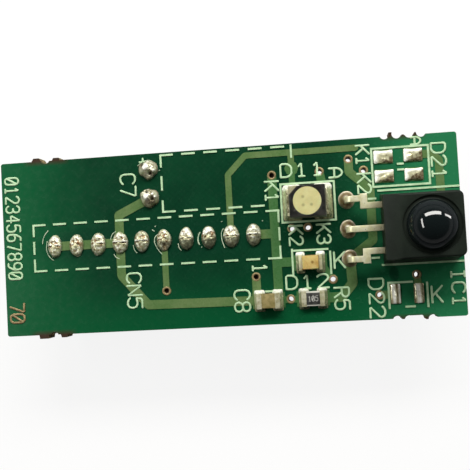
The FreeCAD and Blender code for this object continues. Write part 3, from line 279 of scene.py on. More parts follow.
def makeMaskFinish():
    look = boardLook
    material, tree, sockets, shown = makeFinish("laminate", dict(
        low=look["dark"], high=look["plain"], size=3.2, speckle=0.12, rough=(0.2, 0.3), grain=0.5, bump=0.12,
        depth=0.02, specular=0.2))
    x, y = located(tree)[:2]
    # the mask is lighter towards the left and the bottom, and a painted reflection lightens it towards the
    # right
    lightStart, lightEnd = look["lightSpan"]
    right = spread(tree, x, 0.0, 1.0, lightStart * mm, lightEnd * mm, smooth=True)
    left = spread(tree, x, 1.0, 0.0, boardLow.x, boardLow.x + look["leftSpan"] * mm, smooth=True)
    low = spread(tree, y, 0.75, 0.0, boardLow.y, boardLow.y + look["lowSpan"] * mm, smooth=True)
    for share, tone, strength in ((left, "leftLight", 1.0), (low, "leftLight", 1.0), (right, "light", 0.9)):
        shown = tint(tree, shown, share, look[tone], strength)
    headerLow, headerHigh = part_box("header_solder")
    row = spotMask(tree, tuple((headerLow + headerHigh) / 2 / mm), look["row"], 0.55)
    shown = tint(tree, shown, row, look["rowShade"], 0.7)
    # painted shade of the receiver, darkening the mask in two strips beside it
    for across, along, wide, tall in look["bands"]:
        band = spotMask(tree, (across, along, frontFace / mm), (wide, tall, 3.0), 0.6)
        shown = tint(tree, shown, band, look["rowShade"], 0.6)
    turn = 2 * math.pi / (look["weave"] * mm)
    threads = [maths(tree, "SINE", times(tree, axis, turn)) for axis in (x, y)]
    cloth = spread(tree, times(tree, *threads), 0.0, 0.035, -1.0, 1.0)  # glass shows faintly through the mask
    shown = tint(tree, shown, cloth, look["light"])
    out = maths(tree, "ABSOLUTE", y)
    beyond = spread(tree, out, 0.0, 1.0, routedEdge - look["tear"] * mm, routedEdge + 0.02 * mm)
    tabs = maths(tree, "MAXIMUM", *[spotMask(tree, (across, 0, 7), (reach, 40, 40), inner)
                                    for across, reach, inner in look["tabs"]])
    shown = tint(tree, shown, times(tree, beyond, tabs), look["torn"])
    bare = useGroup(tree, mottle, Low=paint(*look["laminateLow"]), High=paint(*look["laminate"]), Size_mm=0.6,
                    Speckle=0.4)["Color"]
    feed(tree, sockets["Base Color"], blendColours(tree, sideMask(tree), shown, bare))
    return material


# Tracks: copper seen through the mask, tan on the left and greener on the right

trackLook = {
    "tan": (99, 121, 77), "olive": (80, 110, 63), "green": (54, 102, 58), "edge": (40, 78, 46),
    "start": (3.2, 4.4), "back": (8.5, 10.5), "top": (5.0, 6.6),  # where green starts, thins and ends, in mm
}


def makeTrackFinish():
    look = trackLook
    material, tree, sockets, shown = makeFinish("masked_copper", dict(
        low=look["olive"], high=look["tan"], size=1.6, speckle=0.25, rough=(0.22, 0.34), grain=0.3, bump=0.15,
        depth=0.02, specular=0.25))
    x, y = located(tree)[:2]
    start, back, top = ([level * mm for level in look[key]] for key in ("start", "back", "top"))
    share = times(tree, spread(tree, x, 0.0, 1.0, *start, smooth=True), spread(tree, y, 1.0, 0.0, *top))
    share = times(tree, share, spread(tree, x, 0.75, 0.2, *back))
    shown = tint(tree, shown, share, look["green"])
    feed(tree, sockets["Base Color"], tint(tree, shown, sideMask(tree), look["edge"]))
    return material


# Solder: cream and bright, dull in patches, with paint from the joint's own attribute
# (red for brown flux and painted shade, green for grey and painted shade, blue for painted glints)

solderLook = {
    # flux is also the colour of the painted brown shade, grey that of the painted grey shade, glint that of
    # the painted highlights
    "flux": (116, 82, 50), "greyAndShade": (84, 88, 70), "glint": (254, 254, 246), "glintMetal": 0.2,
    "common": dict(size=0.45, speckle=0.3, metallic=0.4, grain=0.3, bump=0.25, depth=0.03),
    "kinds": {
        "solder": dict(low=(140, 142, 106), high=(206, 210, 172), rough=(0.25, 0.42)),
        "solder_shiny": dict(low=(214, 208, 162), high=(247, 246, 208), rough=(0.16, 0.3), bump=0.15,
                             metallic=0.5),
        "solder_streaked": dict(low=(172, 164, 130), high=(250, 248, 222), rough=(0.14, 0.28), size=0.32,
                                metallic=0.5),
        "solder_dull": dict(low=(151, 145, 109), high=(177, 172, 134), rough=(0.3, 0.48)),
    },
}


def makeSolderFinish(name):
    look = solderLook
    material, tree, sockets, shown = makeFinish(name, {**look["common"], **look["kinds"][name]})
    marks = put(tree, "ShaderNodeAttribute", attribute_name="paint").outputs["Color"]
    marks = put(tree, "ShaderNodeSeparateColor", {0: marks}).outputs
    cloud = useGroup(tree, grain, Size_mm=0.22, Rough_low=0.55, Rough_high=1.25)["Roughness"]
    for channel, tone in (("Red", "flux"), ("Green", "greyAndShade"), ("Blue", "glint")):
        share = maths(tree, "MULTIPLY", marks[channel], cloud, clamp=True)
        shown = tint(tree, shown, share, look[tone])
    feed(tree, sockets["Base Color"], shown)
    metal = sockets["Metallic"].default_value  # full outside the painted glints
    feed(tree, sockets["Metallic"], spread(tree, share, metal, look["glintMetal"] * metal))
    return material


# LEDs

ledLook = {
    "face": (26, 26, 25), "side": (88, 86, 78), "corner": 0.95, "cornerMark": (146, 142, 112),
    "window": (204, 199, 146), "windowDeep": (190, 184, 130), "spot": (112, 112, 78), "spotReach": 0.2,
    "halfDie": 0.15,  # mm
    "lens": (207, 187, 122), "lensDeep": (177, 146, 80), "lensSpot": (120, 82, 34), "lensSpotReach": 0.19,
    "lensSpotShift": Vector((0.17, 0, 0)),
}


def makeHousingFinish():
    look = ledLook
    material, tree, sockets, shown = makeFinish("led_housing", dict(
        low=(20, 20, 20), high=look["face"], size=0.8, rough=(0.28, 0.4), grain=0.1, bump=0.25,
        worn=(84, 82, 76), wear=0.6))
    x, y = located(tree)[:2]
    low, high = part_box("rgb_led_housing")
    inward = maths(tree, "ADD", maths(tree, "SUBTRACT", x, low.x), maths(tree, "SUBTRACT", high.y, y))
    corner = spread(tree, inward, 1.0, 0.0, (look["corner"] - 0.1) * mm, look["corner"] * mm)
    side = maths(tree, "LESS_THAN", located(tree, "Normal")[2], 0.7)
    shown = tint(tree, shown, side, look["side"])
    feed(tree, sockets["Base Color"], tint(tree, shown, corner, look["cornerMark"]))
    return material


def makeWindowFinish():
    look = ledLook
    material, tree, sockets, shown = makeFinish("led_window", dict(
        low=look["windowDeep"], high=look["window"], size=0.9, speckle=0.15, rough=(0.3, 0.42), grain=0.2,
        bump=0.15, scatter=0.25, scatterReach=0.25 * mm))
    near, far = (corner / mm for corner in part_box("rgb_led_dice"))
    left, right, low, high = (near.x + look["halfDie"], far.x - look["halfDie"], near.y + look["halfDie"],
                              far.y - look["halfDie"])
    for x, y in ((left, high), (left, low), (right, low)):
        mask = spotMask(tree, (x, y, far.z), (look["spotReach"], look["spotReach"], 4.0), 0.3)
        shown = tint(tree, shown, mask, look["spot"], 0.55)
    feed(tree, sockets["Base Color"], shown)
    return material


def makeLensFinish():
    look = ledLook
    material, tree, sockets, shown = makeFinish("led_lens", dict(
        low=look["lensDeep"], high=look["lens"], size=0.7, speckle=0.3, rough=(0.12, 0.24), grain=0.2,
        bump=0.2, scatter=0.3, coat=0.4))
    low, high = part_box("chip_led_die")
    centre = (low + high) / 2 / mm + look["lensSpotShift"]
    mask = spotMask(tree, tuple(centre), (look["lensSpotReach"], look["lensSpotReach"], 3.0), 0.3)
    feed(tree, sockets["Base Color"], tint(tree, shown, mask, look["lensSpot"], 0.8))
    return material


# Receiver leads: tin darkened by painted shade towards the moulding

# dull is the colour of the painted shade near the moulding
leadLook = {"dull": (128, 122, 98), "reach": 1.5, "share": 0.75}


def makeLeadFinish():
    look = leadLook
    material, tree, sockets, shown = makeFinish("lead_tin", plainFinishes["tin_plate"])
    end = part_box("receiver_body")[0].x
    # painted shade of the moulding, darkening the leads close to it
    near = spread(tree, located(tree)[0], 0.0, look["share"], end - look["reach"] * mm, end, smooth=True)
    feed(tree, sockets["Base Color"], tint(tree, shown, near, look["dull"]))
    return material


# Receiver moulding: matte face, polished dome

receiverLook = {
    "face": (24, 30, 25), "faceHigh": (31, 38, 32), "dome": (17, 23, 24), "polish": 0.12,
    "faceLevel": 3.7, "domeBack": 2.6, "domeReach": 2.16,  # mm
}


def makeEpoxyFinish():
    look = receiverLook
    material, tree, sockets, shown = makeFinish("receiver_epoxy", dict(
        low=look["face"], high=look["faceHigh"], size=1.6, speckle=0.25, rough=(0.42, 0.54), grain=0.07,
        bump=0.35, specular=0.15, coatRough=0.04))
    inDome = domeMask(tree)
    feed(tree, sockets["Base Color"], tint(tree, shown, inDome, look["dome"]))
    feed(tree, sockets["Coat Weight"], inDome)
    bumps = tree.nodes["Bump"].inputs["Height"]
    for socket, inside in ((sockets["Roughness"], look["polish"]), (bumps, 0.0)):
        matte = socket.links[0].from_socket
        feed(tree, socket, times(tree, matte, spread(tree, inDome, 1.0, inside)))
    return material


def domeMask(tree):
    look = receiverLook
    low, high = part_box("receiver_body")
    face = low.z + look["faceLevel"] * mm
    centre = (high.x / mm - look["domeBack"], (low.y + high.y) / 2 / mm, face / mm + 0.1)
    wide = spotMask(tree, centre, (look["domeReach"], look["domeReach"], 60.0), 0.985)
    above = spread(tree, located(tree)[2], 0.0, 1.0, face - 0.05 * mm, face + 0.02 * mm)
    return times(tree, wide, above)


# Sleeve of the capacitor: dark film with a pale stripe of minus signs down one side

sleeveLook = {
    "film": (22, 24, 34), "filmHigh": (34, 36, 48), "stripe": (176, 178, 180),
    "dashPitch": 2.2, "dashHalf": 0.3,  # mm, then a share of the pitch
    "stripeTurn": -2.2, "stripeReach": 0.36, "dashReach": 0.09,  # radians round the can
}


def makeSleeveFinish():
    look = sleeveLook
    material, tree, sockets, shown = makeFinish("sleeve_film", dict(
        low=look["film"], high=look["filmHigh"], size=2.0, rough=(0.18, 0.3), grain=0.35, bump=0.2,
        depth=0.02, coat=0.3))
    low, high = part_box("capacitor_sleeve")
    middle = (low + high) / 2
    x, y, z = located(tree)
    rise, reach = maths(tree, "SUBTRACT", z, middle.z), maths(tree, "SUBTRACT", y, middle.y)
    turn = maths(tree, "ARCTAN2", rise, reach)
    away = maths(tree, "ABSOLUTE", maths(tree, "SUBTRACT", turn, look["stripeTurn"]))
    shown = tint(tree, shown, maths(tree, "LESS_THAN", away, look["stripeReach"]), look["stripe"])
    along = maths(tree, "DIVIDE", maths(tree, "SUBTRACT", x, low.x), look["dashPitch"] * mm)
    off = maths(tree, "ABSOLUTE", maths(tree, "SUBTRACT", maths(tree, "FRACT", along), 0.5))
    dash = times(tree, maths(tree, "LESS_THAN", off, look["dashHalf"]),
                 maths(tree, "LESS_THAN", away, look["dashReach"]))
    feed(tree, sockets["Base Color"], tint(tree, shown, dash, look["film"]))
    return material


finishes.update(
    laminate=makeMaskFinish(), masked_copper=makeTrackFinish(), led_housing=makeHousingFinish(),
    led_window=makeWindowFinish(), led_lens=makeLensFinish(), lead_tin=makeLeadFinish(),
    receiver_epoxy=makeEpoxyFinish(), sleeve_film=makeSleeveFinish(),
    **{name: makeSolderFinish(name) for name in solderLook["kinds"]})
print("materials made:", len(finishes))


# Pieces

def newObject(name, contents):
    item = bpy.data.objects.new(name, contents)
    bpy.context.scene.collection.objects.link(item)
    return item


def addPiece(name, mesh, finish, slotName):
    mesh.materials.clear()
    mesh.materials.append(finishes[finish])
    piece = newObject(name, mesh)
    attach(piece, body)
    return piece


def newForm():  # a mesh under way whose vertices can carry paint
    form = bmesh.new()
    form.verts.layers.float_color.new("paint")
    return form


def meshFrom(form, name):
    mesh = bpy.data.meshes.new(name)
    form.to_mesh(mesh)
    form.free()
    return mesh


def markSharp(mesh, degrees=32.0):
    form = bmesh.new()
    form.from_mesh(mesh)
    limit = math.radians(degrees)
    for face in form.faces:
        face.smooth = True
    for edge in form.edges:
        edge.smooth = len(edge.link_faces) == 2 and edge.calc_face_angle(0.0) < limit
    form.to_mesh(mesh)
    form.free()


def mergedForm(node):  # a CAD node's loose triangles as one closed mesh with whole flat faces
    form = bmesh.new()
    form.from_mesh(nodes[node].data)
    bmesh.ops.remove_doubles(form, verts=form.verts, dist=0.0005 * mm)
    return form


def corners(points):  # the low and the high corner round some points
    return tuple(Vector([pick(point[axis] for point in points) for axis in range(3)]) for pick in (min, max))


def islands(node):  # the separate solids of a node, as low and high corners, from left to right
    form = mergedForm(node)
    left, found = set(form.verts), []
    while left:
        start = left.pop()
        group, edge = [start], [start]
        while edge:
            vertex = edge.pop()
            for link in vertex.link_edges:
                other = link.other_vert(vertex)
                if other in left:
                    left.discard(other)
                    group.append(other)
                    edge.append(other)
        found.append(corners([vertex.co for vertex in group]))
    form.free()
    return sorted(found, key=lambda pair: (round(pair[0].x, 5), round(pair[0].y, 5)))


def softened(node, width, finish):
    form = mergedForm(node)
    bmesh.ops.dissolve_limit(form, angle_limit=math.radians(0.6), verts=form.verts, edges=form.edges)
    if width:
        sharp = [edge for edge in form.edges
                 if len(edge.link_faces) == 2 and edge.calc_face_angle(0.0) > math.radians(30.0)]
        bmesh.ops.bevel(form, geom=sharp, offset=width * mm, segments=2, profile=0.6, affect="EDGES",
                        clamp_overlap=True)
    bmesh.ops.triangulate(form, faces=[face for face in form.faces if len(face.verts) > 4])
    mesh = meshFrom(form, f"soft_{node}")
    markSharp(mesh)
    piece = addPiece(f"soft_{node}", mesh, finish or slotOf[node], slotOf[node])
    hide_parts(node)


for node, item in nodes.items():  # every CAD node gets its finish, also those that stay hidden
    item.data.materials.clear()
    item.data.materials.append(finishes[slotOf[node]])

softEdges = {  # bevel width in mm
    "header_shroud": 0.06, "rgb_led_housing": 0.04, "rgb_led_window": 0.0, "chip_led_base": 0.02,
    "chip_led_lens": 0.05, "chip_capacitor_body": 0.06, "chip_resistor_body": 0.02,
    "chip_resistor_coat": 0.012, "capacitor_can": 0.0, "capacitor_sleeve": 0.03, "capacitor_bung": 0.03,
    "receiver_body": 0.05, "capacitor_lead_plus": 0.0, "capacitor_lead_minus": 0.0, "silkscreen": 0.0,
    **{f"receiver_lead_{side}": 0.05 for side in ("upper", "middle", "lower")},
    **{f"rgb_led_terminal_{number}": 0.03 for number in range(1, 5)},
    **{f"header_pin_{number}": 0.03 for number in range(1, 11)},
    **{f"{part}_{hand}": 0.02 for part in ("chip_led_terminal", "chip_capacitor_cap", "chip_resistor_cap")
       for hand in ("left", "right")},
}
ownFinish = {"receiver_lead": "lead_tin", "chip_capacitor_cap": "chip_tin", "chip_resistor_cap": "chip_tin"}
for node, width in softEdges.items():
    softened(node, width, ownFinish.get(node.rsplit("_", 1)[0]))
print("edges softened:", len(softEdges))


# Solder as height fields: a round or square patch of rings from the middle to the rim

def bell(distance, reach):
    return math.exp(-(distance / reach) ** 2)


def bellAt(u, v, x, y, reach):
    return bell(math.hypot(u - x, v - y), reach)


def step(low, high, value):
    share = min(1.0, max(0.0, (value - low) / (high - low)))
    return share * share * (3 - 2 * share)


def ripple(u, v, seed, octaves=2):
    return noise.fractal(Vector((u, v, seed)), 1.0, 2.0, octaves)


def onPads(low, high):  # the middle of a box, on the pads' face, and half its size in mm
    middle = (low + high) / 2
    return Vector((middle.x, middle.y, padFace)), (high.x - low.x) / 2 / mm, (high.y - low.y) / 2 / mm


def joinRows(form, first, second):
    for side in range(len(first)):
        following = (side + 1) % len(first)
        form.faces.new((first[side], second[side], second[following], first[following]))


def ringPatch(form, centre, halfWide, halfTall, heightAt, paintAt, rings, sides, skirt=0.05, square=2.0,
              pinch=0.0, wobble=0.0, seed=0.0):
    # heightAt(u, v, r) gives the level over the centre's in mm, paintAt(u, v, r) brown, grey and glint shares
    layer = form.verts.layers.float_color["paint"]

    def place(u, v, r):
        level = heightAt(u, v, r) * mm
        reach = 1 - pinch * (1 - u * u) * abs(v)
        vertex = form.verts.new(centre + Vector((u * halfWide * mm, v * reach * halfTall * mm, level)))
        vertex[layer] = [min(1.0, max(0.0, share)) for share in paintAt(u, v, r)] + [1.0]
        return vertex

    middle = place(0.0, 0.0, 0.0)
    before = []
    for ring in range(1, rings + 1):
        share = math.sin(0.5 * math.pi * ring / rings)
        row = []
        for side in range(sides):
            turn = 2 * math.pi * side / sides
            cosine, sine = math.cos(turn), math.sin(turn)
            reach = share / (abs(cosine) ** square + abs(sine) ** square) ** (1 / square)
            reach *= 1 + wobble * noise.noise(Vector((cosine * 1.4, sine * 1.4, seed)))
            row.append(place(reach * cosine, reach * sine, share))
        joinRows(form, before, row)
        if not before:
            for side in range(sides):
                form.faces.new((middle, row[side], row[(side + 1) % sides]))
        before = row
    foot = [form.verts.new(vertex.co - Vector((0, 0, skirt * mm))) for vertex in before]
    joinRows(form, before, foot)
    form.faces.new(foot[::-1])


def finishPatches(form, name, finish, slotName, *replaced):
    mesh = meshFrom(form, name)
    markSharp(mesh, 50.0)
    piece = addPiece(name, mesh, finish, slotName)
    if replaced:
        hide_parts(*replaced)


# Header joints, from the left. Each has its shares of a raised bar with a painted highlight on it, a dark
# line of painted shade under it, two round dents painted dark as shade, a pointed top, a painted highlight on
# the top half, painted grey shade on the lower half (the foot), brown flux and shade, and uneven skin. Some
# are wider, split with a crevice painted dark as shade, or have a painted glint.
headerJoints = {
    "rise": 0.4, "wide": 1.3, "tall": 1.96, "seed": 4.0, "barLevel": 0.1, "barWide": 0.065, "barRise": 0.13,
    "lineDrop": 0.12, "eyeDrop": 0.1, "splitDrop": 0.3,
    "joints": (
        dict(bar=0.5, line=1.0, eyes=0.7, point=0.15, top=0.5, foot=0.0, brownAndShade=0.35, skin=0.05),
        dict(bar=0.2, line=0.3, eyes=1.0, point=0.15, top=0.45, foot=0.0, brownAndShade=0.8, skin=0.07),
        dict(bar=1.0, line=1.0, eyes=0.35, point=0.2, top=0.3, foot=0.05, brownAndShade=0.5, skin=0.06,
             side=1, wide=1.07),
        dict(bar=1.0, line=1.0, eyes=0.9, point=0.5, top=0.5, foot=0.1, brownAndShade=0.25, skin=0.04, wide=1.07),
        dict(bar=1.0, line=0.7, eyes=0.3, point=0.15, top=0.0, foot=0.45, brownAndShade=0.55, skin=0.05),
        dict(bar=0.1, line=0.2, eyes=0.0, point=-0.15, top=0.1, foot=0.6, brownAndShade=1.0, skin=0.08, split=1.0),
        dict(bar=0.35, line=0.5, eyes=0.0, point=0.0, top=1.0, foot=1.1, brownAndShade=0.45, skin=0.05),
        dict(bar=0.1, line=0.2, eyes=0.0, point=0.1, top=1.0, foot=1.1, brownAndShade=0.9, skin=0.06),
        dict(bar=0.6, line=0.5, eyes=0.25, point=0.75, top=0.8, foot=0.85, brownAndShade=0.3, skin=0.05, wide=1.07),
        dict(bar=1.0, line=0.4, eyes=0.0, point=0.25, top=0.75, foot=0.85, brownAndShade=0.25, skin=0.06, glint=1.0),
    ),
}


def makeHeaderJoints():
    look = headerJoints
    form = newForm()
    for number, ((low, high), joint) in enumerate(zip(islands("header_solder"), look["joints"])):
        centre = onPads(low, high)[0]
        halfWide, halfTall = look["wide"] / 2 * joint.get("wide", 1.0), look["tall"] / 2

        def cloud(u, v, scale, layer):
            return ripple(u * scale, v * scale * 1.6, number * look["seed"] + layer, 3)

        def onBar(u):
            return step(-0.15, 0.05, u) if joint.get("side") else 1.0

        def eyes(u, v):
            return joint["eyes"] * sum(bell(math.hypot(u - x, (v - 0.38) * 1.3), 0.17) for x in (-0.3, 0.3))

        def split(u, v, x, reach):
            return joint.get("split", 0.0) * bell(math.hypot(u - x, (v + 0.62) * 0.8), reach)

        def heightAt(u, v, r):
            over = v - look["barLevel"]
            narrow = 1 + joint["point"] * max(v, 0.0) ** 1.5
            out = min(1.0, math.hypot(u * narrow, v))
            relief = look["barRise"] * joint["bar"] * onBar(u) * bell(over, look["barWide"])
            relief -= look["lineDrop"] * joint["line"] * onBar(u) * bell(over + 0.1, look["barWide"])
            relief -= look["eyeDrop"] * eyes(u, v) + look["splitDrop"] * split(u, v, 0.1, 0.3)
            relief += joint["skin"] * cloud(u, v, 1.8, 0)
            return look["rise"] * (1 - out ** 3.6) ** 0.55 + relief * max(0.0, 1 - r ** 8)

        # painted shade: the line under the bar, the dents, the crevice, the rim and the grey foot; painted
        # highlights: the bar, the top and the glints
        def paintAt(u, v, r):
            over = v - look["barLevel"]
            brownAndShade = 1.6 * joint["brownAndShade"] * step(-0.1, 0.4, cloud(u, v, 2.2, 20)) * bell(over - 0.1, 0.45)
            brownAndShade += joint["line"] * onBar(u) * bell(over + 0.12, 0.045) + eyes(u, v)
            brownAndShade += 0.9 * step(0.12, 0.4, cloud(u, v, 3.2, 80)) * step(0.95, 0.7, r)
            brownAndShade += 1.2 * split(u, v, 0.15, 0.34)
            greyAndShade = joint["foot"] * step(0.0, -0.28, over) * (0.95 + 0.4 * cloud(u, v, 2.0, 40))
            glint = joint["top"] * step(0.2, 0.5, v) * step(0.98, 0.8, r) * (0.8 + 0.5 * cloud(u, v, 1.5, 60))
            footless = 1 - joint["foot"] * step(0.1, -0.1, over)
            glint += 0.55 * step(0.0, 0.3, cloud(u, v, 2.6, 100)) * footless
            glint += 1.5 * joint["bar"] * onBar(u) * bell(over, look["barWide"])
            glint += joint.get("glint", 0.0) * bell(math.hypot((u + 0.05) * 0.5, v + 0.18), 0.09)
            rim = step(0.88, 1.0, r)
            return brownAndShade + 0.12 * rim, greyAndShade + 0.2 * rim, glint * (1 - 0.7 * rim) * (1 - min(1.0, brownAndShade))

        ringPatch(form, centre, halfWide, halfTall, heightAt, paintAt, 30, 60, wobble=0.09, seed=number * 3.1)
    finishPatches(form, "header_joints", "solder", "solder", "header_solder")


makeHeaderJoints()


# Capacitor joints: round, shiny and lumpy, with painted shade on the side away from the window and in the
# hollows, and painted glints

wireJoints = {
    "rise": 0.66, "shift": 0.05, "wide": 1.24, "tall": 1.32,
    "joints": (  # from the lower; lumps and hollows as u, v, reach, height, the patch of painted shade as u, v, reach
        dict(lumps=((-0.42, 0.82, 0.2, 0.75), (0.02, 0.82, 0.17, 0.65), (0.5, 0.28, 0.22, 0.35),
                    (0.76, 0.0, 0.2, 0.35), (-0.25, 0.0, 0.4, 0.2)),
             hollows=((-0.2, 0.52, 0.17, 0.45), (0.28, 0.45, 0.14, 0.35), (0.42, -0.2, 0.2, 0.3)),
             dark=(0.25, -0.55, 0.5)),
        dict(lumps=((-0.15, 0.15, 0.45, 0.3), (0.72, -0.2, 0.24, 0.4), (0.1, 0.75, 0.2, 0.25)),
             hollows=((0.3, -0.4, 0.24, 0.35), (-0.62, 0.5, 0.25, 0.3)), dark=(-0.55, 0.62, 0.34)),
    ),
}


def makeWireJoints():
    look = wireJoints
    form = newForm()
    pairs = sorted(islands("capacitor_solder"), key=lambda pair: pair[0].y)
    for number, ((low, high), joint) in enumerate(zip(pairs, look["joints"])):
        centre, half, _ = onPads(low, high)
        centre += Vector((0, look["shift"], 0)) * mm

        def heightAt(u, v, r):
            relief = sum(rise * bellAt(u, v, x, y, reach) for x, y, reach, rise in joint["lumps"])
            relief -= sum(drop * bellAt(u, v, x, y, reach) for x, y, reach, drop in joint["hollows"])
            relief += 0.13 * ripple(u * 1.8, v * 1.8, 40 + number * 7)
            return look["rise"] * (1 - min(1.0, r) ** 2.4) ** 0.7 + relief * max(0.0, 1 - r ** 6)

        # painted shade on the far side and in the hollows, painted glints on the lumps
        def paintAt(u, v, r):
            x, y, reach = joint["dark"]
            dark = bell(math.hypot(u - x, (v - y) * 1.1), reach)
            dark += 0.8 * sum(bellAt(u, v, x, y, reach) for x, y, reach, drop in joint["hollows"])
            glint = step(0.45, 0.9, bellAt(u, v, -0.2, 0.3, 0.5))
            glint += sum(step(0.3, 0.8, bellAt(u, v, x - 0.04, y + 0.04, reach * 0.8))
                         for x, y, reach, rise in joint["lumps"])
            rim, under = step(0.82, 1.0, r), step(-0.1, -0.9, v)
            lit = (1 - rim) * (1 - 0.8 * min(1, dark))
            return 0.85 * dark + 0.6 * rim, 0.6 * dark + 0.25 * under, glint * lit

        ringPatch(form, centre, half * look["wide"], half * look["tall"], heightAt, paintAt, 26, 56,
                  wobble=0.22, seed=7 + number * 5.3)
    finishPatches(form, "capacitor_joints", "solder_streaked", "solder", "capacitor_solder")


makeWireJoints()


# Receiver joints: hollow-sided cones round the legs, beige with flux, with painted shade on their lower side
# and a painted highlight

coneJoints = {"rise": 0.62, "neck": 0.34, "tall": 1.14}


def makeConeJoints():
    look = coneJoints
    form = newForm()
    joints = sorted(islands("receiver_solder"), key=lambda pair: pair[0].y)
    for number, (low, high) in enumerate(joints):
        centre, half, _ = onPads(low, high)

        def heightAt(u, v, r):
            out = max(0.0, (r - look["neck"]) / (1 - look["neck"]))
            wander = ripple(u * 1.6, v * 1.6, 90 + number * 5)
            return look["rise"] * (1 - out) ** 1.7 + 0.06 * wander * max(0.0, 1 - r ** 5)

        # beige flux, painted grey shade on the lower side, and a painted highlight near the middle and along
        # the upper rim
        def paintAt(u, v, r):
            rim, waist, below = bell(r - 0.95, 0.12), bell(r - 0.62, 0.2), step(0.1, -0.7, v)
            wander = ripple(u * 2.4, v * 2.4, 95 + number * 5)
            glint = 1.1 * bellAt(u, v, -0.05, 0.12, 0.24) + 0.25 * rim * (1 - below)
            return 0.45 + 0.35 * waist + 0.3 * wander, (0.35 + 0.5 * rim) * below, glint

        ringPatch(form, centre, half, half * look["tall"], heightAt, paintAt, 20, 48, wobble=0.08,
                  seed=20 + number * 4.7)
    finishPatches(form, "receiver_joints", "solder_dull", "solder", "receiver_solder")


makeConeJoints()


# Tinned spare pads: low cushions with pinched long edges, with a painted highlight towards the window and
# brown painted shade away from it

padTin = {
    "rise": 0.2, "corner": 9.0, "skirt": 0.02, "pinch": 0.15,
    "streaked": 2,  # the pad with two painted bright streaks
    "sweep": (0.5, 0.45, 0.75, 0.85, 0.8, 0.8),  # how far the brown painted shade reaches into each pad, from the left
}


def makePadTin():
    look = padTin
    form = newForm()
    for number, ((low, high), sweep) in enumerate(zip(islands("spare_pad_tin"), look["sweep"])):
        centre, halfWide, halfTall = onPads(low, high)
        upright = halfTall > halfWide

        def heightAt(u, v, r):
            edge = max(0.0, (1 - u ** 4)) * max(0.0, (1 - v ** 4))
            return look["rise"] * edge ** 0.5 * (1 + 0.3 * ripple(u * 1.3, v * 1.3, 60 + number * 9))

        # dark is painted shade and glint painted highlights, for the light falling on the curved tin
        def paintAt(u, v, r):
            wander = ripple(u * 2.6, v * 1.6, 70 + number * 9, 3)
            if number == look["streaked"]:
                dark = bell(u - 0.3, 0.2) * (0.9 + 0.4 * wander) + 0.7 * bell(u + 0.88, 0.16)
                glint = 1.6 * bell(u + 0.3 + 0.1 * v, 0.26) + 1.2 * bell(u - 0.76, 0.18)
            elif upright:
                dark = 0.9 * bell(u - 0.75, 0.22) + 0.8 * bell(u + 0.85, 0.2)
                glint = 1.8 * bell(u + 0.1 + 0.15 * v, 0.34)
            else:
                away = 0.6 * u - 0.7 * v + 0.7 * wander
                dark = step(0.45 - 0.7 * sweep, 1.15 - 0.7 * sweep, away)
                glint = step(0.3, 0.9, -u) + 0.9 * step(0.1, 0.8, v)
            rim = step(0.93, 1.0, max(abs(u), abs(v)))
            return 0.9 * dark + 0.2 * rim, 0.4 * dark + 0.35 * rim, 1.2 * glint * (1 - 0.9 * min(1.0, dark))

        ringPatch(form, centre, halfWide, halfTall, heightAt, paintAt, 18, 72, skirt=look["skirt"],
                  square=look["corner"], pinch=0.0 if upright else look["pinch"])
    finishPatches(form, "pad_tin", "solder_shiny", "solder", "spare_pad_tin")


makePadTin()


# Chip solder: fillets that climb the ends and long sides of every terminal, with a painted highlight along
# their top side

chipFillets = {  # the terminals that the solder climbs, then its reach and rise in mm and its shares of paint
    "chip_led": ("chip_led_terminal", dict(reach=0.26, rise=0.4, top=1.0, greyAndShade=0.35, streak=0.3)),
    "chip_capacitor": ("chip_capacitor_cap", dict(reach=0.26, rise=0.62, top=0.9, greyAndShade=0.1, streak=0.0)),
    "chip_resistor": ("chip_resistor_cap", dict(reach=0.24, rise=0.42, top=0.7, greyAndShade=0.4, streak=0.3)),
    "rgb_led": ("rgb_led_terminal", dict(reach=0.42, rise=0.95, top=0.8, greyAndShade=0.2, streak=0.8)),
}


def sideBoxes(prefix):  # what the terminals on the left and on the right take up
    boxes = [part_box(node) for node in nodes if node.startswith(prefix)]
    middle = sum(low.x + high.x for low, high in boxes) / len(boxes)
    for side in (-1, 1):
        yield corners([corner for low, high in boxes if (low.x + high.x - middle) * side > 0
                       for corner in (low, high)])


def filletPatch(form, low, high, look, seed):
    centre, halfWide, halfTall = onPads(low, high)
    halfWide, halfTall = halfWide + look["reach"], halfTall + look["reach"]
    coreWide, coreTall = 1 - look["reach"] / halfWide, 1 - look["reach"] / halfTall

    def heightAt(u, v, r):
        across = max(0.0, (abs(u) - coreWide) / (1 - coreWide))
        along = max(0.0, (abs(v) - coreTall) / (1 - coreTall))
        out = min(1.0, math.hypot(across, along))
        return max(0.02, look["rise"] * (1 - out) ** 1.3 * (1 + 0.2 * ripple(u * 2.0, v * 2.0, seed)))

    # painted shade below and at the rim, a painted highlight along the top side, and streaks
    def paintAt(u, v, r):
        streak = look["streak"] * step(0.0, 0.35, noise.noise(Vector((u * 3.2, v * 0.7, seed + 9))))
        below, rim = step(0.3, -0.9, v), step(0.9, 1.0, max(abs(u), abs(v)))
        brownAndShade = 0.25 * below + 0.3 * rim + 0.2 * ripple(u * 2.6, v * 2.6, seed + 3)
        greyAndShade = look["greyAndShade"] + 0.25 * below + 0.3 * rim + streak
        return brownAndShade, greyAndShade, look["top"] * step(coreTall - 0.12, coreTall, v)

    ringPatch(form, centre, halfWide, halfTall, heightAt, paintAt, 24, 64, skirt=0.02, square=8.0)


def makeChipFillets():
    for number, (name, (terminals, look)) in enumerate(chipFillets.items()):
        form = newForm()
        for count, (low, high) in enumerate(sideBoxes(terminals)):
            filletPatch(form, low, high, look, 120 + number * 11 + count)
        finishPatches(form, f"{name}_fillets", "solder_shiny", "solder", f"{name}_solder")


makeChipFillets()
print("solder made")


# Lettering: an own stroke font on a grid four wide and six high, drawn as flat strokes with round ends

